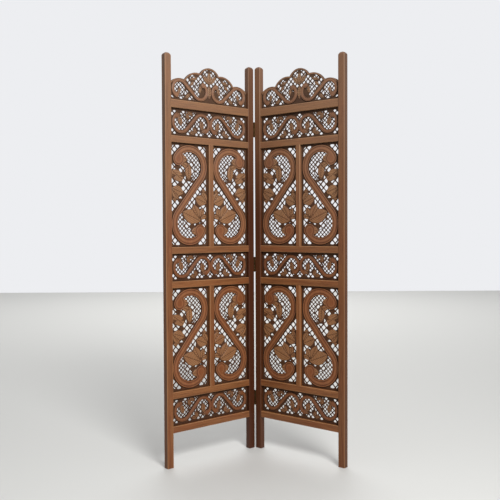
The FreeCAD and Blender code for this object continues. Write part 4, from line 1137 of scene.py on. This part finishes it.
def resampled(run: np.ndarray, step: float, fewest: int = 8) -> np.ndarray:
    """Space points evenly along a closed run.

    Args:
        run: Points of the run.
        step: Gap between the new points, about.
        fewest: Least number of new points.

    Returns:
        The new points.
    """
    closed = np.concatenate([run, run[:1]])
    lengths = np.concatenate([[0], np.cumsum(np.linalg.norm(np.diff(closed, axis=0), axis=1))])
    marks = np.linspace(0, lengths[-1], max(fewest, round(lengths[-1] / step)), endpoint=False)
    return np.stack([np.interp(marks, lengths, closed[:, axis]) for axis in (0, 1)], 1)


def run_normals(run: np.ndarray) -> np.ndarray:
    """Find the unit normals of a closed run.

    Args:
        run: Points of the run.

    Returns:
        A normal for each point, to the left of the way round.
    """
    way = np.roll(run, -1, 0) - np.roll(run, 1, 0)
    way /= np.linalg.norm(way, axis=1, keepdims=True)
    return np.stack([-way[:, 1], way[:, 0]], 1)


def offset_run(run: np.ndarray, gap: float) -> np.ndarray:
    """Move a closed run outwards.

    Args:
        run: Points of the run.
        gap: How far they move.

    Returns:
        The moved points.
    """
    following = np.roll(run, -1, 0)
    area = np.sum(run[:, 0] * following[:, 1] - following[:, 0] * run[:, 1])
    return run - math.copysign(gap, area) * run_normals(run)


def inside_runs(spots: np.ndarray, runs: list[np.ndarray]) -> np.ndarray:
    """Tell which spots lie inside closed runs.

    Args:
        spots: Points to test.
        runs: Closed runs, which may lie inside each other.

    Returns:
        True for each spot that an odd number of runs goes round.
    """
    inside = np.zeros(len(spots), bool)
    x, z = spots[:, 0], spots[:, 1]
    for run in runs:
        for (x1, z1), (x2, z2) in zip(run, np.roll(run, -1, 0)):
            if z1 != z2:
                spans = (z1 > z) != (z2 > z)
                inside ^= spans & (x < x1 + (z - z1) * (x2 - x1) / (z2 - z1))
    return inside


def distance_to_runs(spots: np.ndarray, runs: list[np.ndarray]) -> np.ndarray:
    """Distance from each spot to the nearest point of closed runs, at their points and half way between."""
    marks = [part for run in runs for part in (run, (run + np.roll(run, -1, 0)) / 2)]
    return distance_to_marks(spots, np.concatenate(marks))


def distance_to_marks(spots: np.ndarray, marks: np.ndarray, batch: int = 2000) -> np.ndarray:
    """Distance from each spot to the nearest mark, worked out a batch of spots at a time."""
    parts = np.array_split(spots, len(spots) // batch + 1)
    return np.concatenate([np.linalg.norm(part[:, None] - marks[None], axis=2).min(1) for part in parts])


def thinned(spots: np.ndarray, gap: float) -> np.ndarray:
    """Leave out spots that share a small square with an earlier one."""
    _, first = np.unique(np.round(spots / gap).astype(np.int64), axis=0, return_index=True)
    return spots[np.sort(first)]


@dataclass
class Boards:
    """The carved boards of both leaves."""

    leaves: dict[Side, LeafFrame]
    woods: dict[tuple[Side, Grain], bpy.types.Material]
    tree: bpy.types.NodeTree
    frieze_stain: float = 0.22
    frieze_growth: float = 1.0
    tall_band_half: float = 15.5 * MM
    low_band_half: float = 7.5 * MM

    TALL = ("lower_left_panel", "lower_right_panel", "upper_left_panel", "upper_right_panel")
    FRIEZES = ("bottom_frieze", "waist_frieze", "top_frieze")
    CREST = ("crest_panel",)

    def build(self) -> None:
        """Carve one board of each kind and set a copy in every opening."""
        leaf = self.leaves[Side.RIGHT]
        half_foot = FOOT_EXCESS / 2
        crest_low, crest_high = leaf.box("crest_panel")
        crest_rail = GROOVE_DEPTH - (crest_high.z - crest_low.z) / 2
        frieze = lying_foliage(FRIEZE_OUTER_LOOP, FRIEZE_INNER_LOOP, 0, FRIEZE_LEAVES, True)
        crest = lying_foliage(CREST_OUTER_LOOP, CREST_INNER_LOOP, CREST_LOOP_RISE, CREST_LEAVES, False)
        crest += [((0.0, 0.0), leaf_shape) for leaf_shape in CREST_FAN]
        kinds = (
            (self.TALL, Grain.UPRIGHT, CarvedBoard(
                leaf, "right_upper_right_panel", tall_foliage(), half_foot, self.tall_band_half, self.tree)),
            (self.FRIEZES, Grain.LENGTHWISE, CarvedBoard(
                leaf, "right_waist_frieze", frieze, half_foot, self.low_band_half, self.tree,
                fine_growth=self.frieze_growth, coarse_growth=self.frieze_growth)),
            (self.CREST, Grain.LENGTHWISE, CarvedBoard(
                leaf, "right_crest_panel", crest, crest_rail, self.low_band_half, self.tree, open_top=True)))
        for pieces, grain, board in kinds:
            carved = board.build(self.woods[Side.RIGHT, grain])
            for side in Side:
                for piece in pieces:
                    self.set_board(carved, side, piece, grain)
            bpy.data.meshes.remove(carved)

    def set_board(self, carved: bpy.types.Mesh, side: Side, piece: str, grain: Grain) -> None:
        """Set a copy of a carved board in its opening.

        Args:
            carved: The board in its own axes.
            side: Leaf that it belongs to.
            piece: Name of its node without the leaf's own name.
            grain: The way that its fibres run.
        """
        leaf = self.leaves[side]
        low, high = leaf.box(piece)
        matrix = leaf.matrix @ Matrix.Translation((low + high) / 2)
        if piece.endswith("left_panel"):
            matrix = matrix @ Matrix.Rotation(math.pi, 4, "Z")
        node = f"{side.value}_{piece}"
        mesh = carved.copy()
        mesh.name = f"{node}_wood"
        mesh.transform(matrix)
        mesh.materials[0] = self.woods[side, grain]
        stain = self.frieze_stain if piece in self.FRIEZES else 0.0
        set_tone(mesh, piece_tone(node), stain, stain)
        show(mesh, node, side)


@dataclass
class HingeWork:
    """Butt hinges: their plates and pins keep their shape, and their screws get slotted heads."""

    leaves: dict[Side, LeafFrame]
    brass: bpy.types.Material
    steel: bpy.types.Material
    slot_width: float = 0.9 * MM
    slot_depth: float = 0.7 * MM
    head_height: float = 1.6 * MM
    screw_gap: float = 4 * MM

    LEVELS = ("lower", "middle", "upper")
    # Length of the slot's cutter in head radii, and the turn from one screw's slot to the next
    CUTTER_REACH = 2.4
    SLOT_TURN = 1.9

    @classmethod
    def make_tree(cls) -> bpy.types.NodeTree:
        """Tree that puts a countersunk wood screw with a slot on every point, pointing along +X.

        Returns:
            The tree.
        """
        tree, known = new_tree("slotted_screws", {
            "Head Radius": 3.2 * MM, "Shank Radius": 1.6 * MM, "Head Height": 1.6 * MM, "Length": 14.6 * MM,
            "Slot Width": 0.9 * MM, "Slot Depth": 0.7 * MM})
        known["index"] = add_node(tree, "GeometryNodeInputIndex")[0]
        add_steps(tree, known, (
            ("cutter_depth", "MULTIPLY", "Slot Depth", 2),
            ("cutter_length", "MULTIPLY", "Head Radius", cls.CUTTER_REACH),
            ("shank_length", "SUBTRACT", "Length", "Head Height"),
            ("turn", "MULTIPLY", "index", cls.SLOT_TURN)))
        head = add_node(tree, "GeometryNodeMeshCone", {
            "Vertices": 32, "Radius Top": known["Shank Radius"], "Radius Bottom": known["Head Radius"],
            "Depth": known["Head Height"]})[0]
        size = add_node(tree, "ShaderNodeCombineXYZ", {
            0: known["Slot Width"], 1: known["cutter_length"], 2: known["cutter_depth"]})[0]
        cutter = add_node(tree, "GeometryNodeMeshCube", {"Size": size})[0]
        slotted = add_node(tree, "GeometryNodeMeshBoolean", {"Mesh 1": head, "Mesh 2": cutter},
                           operation="DIFFERENCE", solver="EXACT")[0]
        body = add_node(tree, "GeometryNodeMeshCone", {
            "Vertices": 24, "Radius Top": 0.0, "Radius Bottom": known["Shank Radius"],
            "Depth": known["shank_length"]})[0]
        lift = add_node(tree, "ShaderNodeCombineXYZ", {2: known["Head Height"]})[0]
        shank = add_node(tree, "GeometryNodeTransform", {"Geometry": body, "Translation": lift})[0]
        screw = add_node(tree, "GeometryNodeJoinGeometry", {0: [slotted, shank]})[0]
        lying = add_node(tree, "GeometryNodeTransform", {
            "Geometry": screw, "Rotation": (0, math.pi / 2, 0)})[0]
        spin = add_node(tree, "ShaderNodeCombineXYZ", {0: known["turn"]})[0]
        screws = add_node(tree, "GeometryNodeInstanceOnPoints", {
            "Points": known["Geometry"], "Instance": lying, "Rotation": spin})[0]
        return end_tree(tree, screws, known["Material"])

    def screw_heads(self, leaf: LeafFrame) -> tuple[list[Vector], float]:
        """Read the screws of a leaf from their CAD node.

        Args:
            leaf: The leaf.

        Returns:
            The middle of each head's outer face in the leaf's axes, and the length of a screw.
        """
        points = leaf.points(f"{leaf.side.value}_hinge_screws")
        points = points[np.argsort(points[:, 2])]
        breaks = np.flatnonzero(np.diff(points[:, 2]) > self.screw_gap) + 1
        heads = []
        for group in np.split(points, breaks):
            middle = (group.min(0) + group.max(0)) / 2
            outer = group[np.argmin(np.abs(group[:, 0]))][0]
            heads.append(Vector((outer, middle[1], middle[2])))
        return heads, float(np.ptp(points[:, 0]))

    def build(self) -> None:
        """Dress the plates and pins, and make the screws of both leaves."""
        tree = self.make_tree()
        for side, leaf in self.leaves.items():
            node = f"{side.value}_hinge_screws"
            heads, length = self.screw_heads(leaf)
            # A screw of the left leaf points the other way, so its points are turned half round first.
            turn = Matrix.Rotation(math.pi if side is Side.LEFT else 0, 4, "Z")
            base = bpy.data.meshes.new(f"{node}_heads")
            base.from_pydata([turn @ head for head in heads], [], [])
            mesh = grown(tree, base, f"{node}_slotted", {
                "Length": length, "Head Height": self.head_height, "Slot Width": self.slot_width,
                "Slot Depth": self.slot_depth, "Material": self.steel})
            mesh.transform(leaf.matrix @ turn)
            show(mesh, node, side)
            for level in self.LEVELS:
                dress(f"{level}_hinge_{side.value}_plate", self.brass)
        for level in self.LEVELS:
            dress(f"{level}_hinge_pin", self.brass)


def dress(node: str, material: bpy.types.Material) -> None:
    """Give a CAD node its material.

    Args:
        node: Name of the node.
        material: The material.
    """
    mesh = frame["nodes"][node].data
    mesh.materials.clear()
    mesh.materials.append(material)
    log.info("%s: %s", node, material.name)


@dataclass
class Studio:
    """Pale floor, soft light and the camera of the photograph."""

    camera_at: tuple[float, float, float] = (-0.0366, -3.3948, 1.0575)
    camera_down: float = 1.644
    camera_right: float = 0.236
    camera_roll: float = -0.242
    focal_px: float = 738.0
    frame_px: float = 500
    sensor_mm: float = 36
    backdrop: str = "#EDEEF1"
    floor_tone: str = "#CCCCC9"
    floor_half: float = 9
    floor_roughness: float = 0.6
    fill: float = 0.42
    key_at: tuple[float, float, float] = (1.25, -3.45, 3.4)
    key_aim: tuple[float, float, float] = (0, 0, 0.9)
    key_watts: float = 204
    key_size: float = 1.6
    back_at: tuple[float, float, float] = (0, 6.5, 4.5)
    back_watts: float = 260
    back_size: float = 7

    def build(self) -> None:
        """Set up floor, world, lamps, camera and colour management."""
        self.lay_floor()
        self.light_world()
        scene = bpy.context.scene
        back_aim = (self.back_at[0], self.back_at[1], 0)
        self.hang_lamp("soft_key", self.key_at, self.key_aim, self.key_watts, self.key_size)
        self.hang_lamp("ceiling_at_the_back", self.back_at, back_aim, self.back_watts, self.back_size)
        lens = bpy.data.cameras.new("photo_camera")
        lens.sensor_width = self.sensor_mm
        lens.lens = self.focal_px / self.frame_px * self.sensor_mm
        camera = bpy.data.objects.new("photo_camera", lens)
        turns = ((-self.camera_right, "Z"), (90 - self.camera_down, "X"), (self.camera_roll, "Z"))
        matrix = Matrix.Translation(self.camera_at)
        for degrees, axis in turns:
            matrix = matrix @ Matrix.Rotation(math.radians(degrees), 4, axis)
        camera.matrix_world = matrix
        scene.collection.objects.link(camera)
        scene.camera = camera
        scene.view_settings.view_transform = "Standard"

    @staticmethod
    def hang_lamp(name: str, at: tuple[float, float, float], aim: tuple[float, float, float], watts: float,
                  size: float) -> None:
        """Hang a round soft lamp.

        Args:
            name: Name of the lamp.
            at: Its place.
            aim: What it points at.
            watts: Its power.
            size: Its diameter.
        """
        light = bpy.data.lights.new(name, "AREA")
        light.energy, light.size, light.shape = watts, size, "DISK"
        lamp = bpy.data.objects.new(name, light)
        lamp.location = at
        lamp.rotation_euler = (Vector(aim) - Vector(at)).to_track_quat("-Z", "Y").to_euler()
        bpy.context.scene.collection.objects.link(lamp)

    def lay_floor(self) -> None:
        """Lay the floor just under the feet."""
        half = self.floor_half
        mesh = bpy.data.meshes.new("floor")
        corners = [(-half, -half, 0), (half, -half, 0), (half, half, 0), (-half, half, 0)]
        mesh.from_pydata(corners, [], [(0, 1, 2, 3)])
        material, _, shader = new_material("matt_pale_floor")
        feed(shader, {"Base Color": linear(self.floor_tone), "Roughness": self.floor_roughness})
        mesh.materials.append(material)
        floor = bpy.data.objects.new("floor", mesh)
        bpy.context.scene.collection.objects.link(floor)

    def light_world(self) -> None:
        """Give the world an even light, and a pale backdrop for the camera and for reflections."""
        world = bpy.data.worlds.new("studio")
        world.use_nodes = True
        tree = world.node_tree
        tree.nodes.clear()
        rays = add_node(tree, "ShaderNodeLightPath")
        seen = rays["Is Camera Ray"]
        for label in ("Is Glossy Ray", "Is Transmission Ray"):
            seen = add_node(tree, "ShaderNodeMath", {0: seen, 1: rays[label]}, operation="MAXIMUM")[0]
        light = add_node(tree, "ShaderNodeBackground", {"Color": (1, 1, 1, 1), "Strength": self.fill})[0]
        backdrop = add_node(tree, "ShaderNodeBackground", {
            "Color": linear(self.backdrop), "Strength": 1.0})[0]
        mix = add_node(tree, "ShaderNodeMixShader", {0: seen, 1: light, 2: backdrop})[0]
        add_node(tree, "ShaderNodeOutputWorld", {0: mix})
        bpy.context.scene.world = world


def main() -> None:
    """Build every piece of the screen and the studio round it."""
    logging.basicConfig(level=logging.INFO, format="%(message)s")
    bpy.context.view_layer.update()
    leaves = {side: LeafFrame.between_posts(side) for side in Side}
    woods = {}
    for side, leaf in leaves.items():
        for grain in Grain:
            name = f"stained_sheesham_{side.value}_{grain.value}"
            woods[side, grain] = StainedTimber(name, grain, leaf.turn).material()
    timber_tree = Timberwork.make_tree()
    for side, leaf in leaves.items():
        Timberwork(leaf, woods[side, Grain.UPRIGHT], woods[side, Grain.LENGTHWISE], timber_tree).build()
    Boards(leaves, woods, CarvedBoard.make_tree()).build()
    brass = AgedMetal("aged_brass", "#5E4826", "#2A1D10", 9, (0.32, 0.6)).material()
    steel = AgedMetal("browned_steel", "#6E6658", "#2E2822", 5, (0.35, 0.6)).material()
    HingeWork(leaves, brass, steel).build()
    Studio().build()


if __name__ == "__main__":
    main()
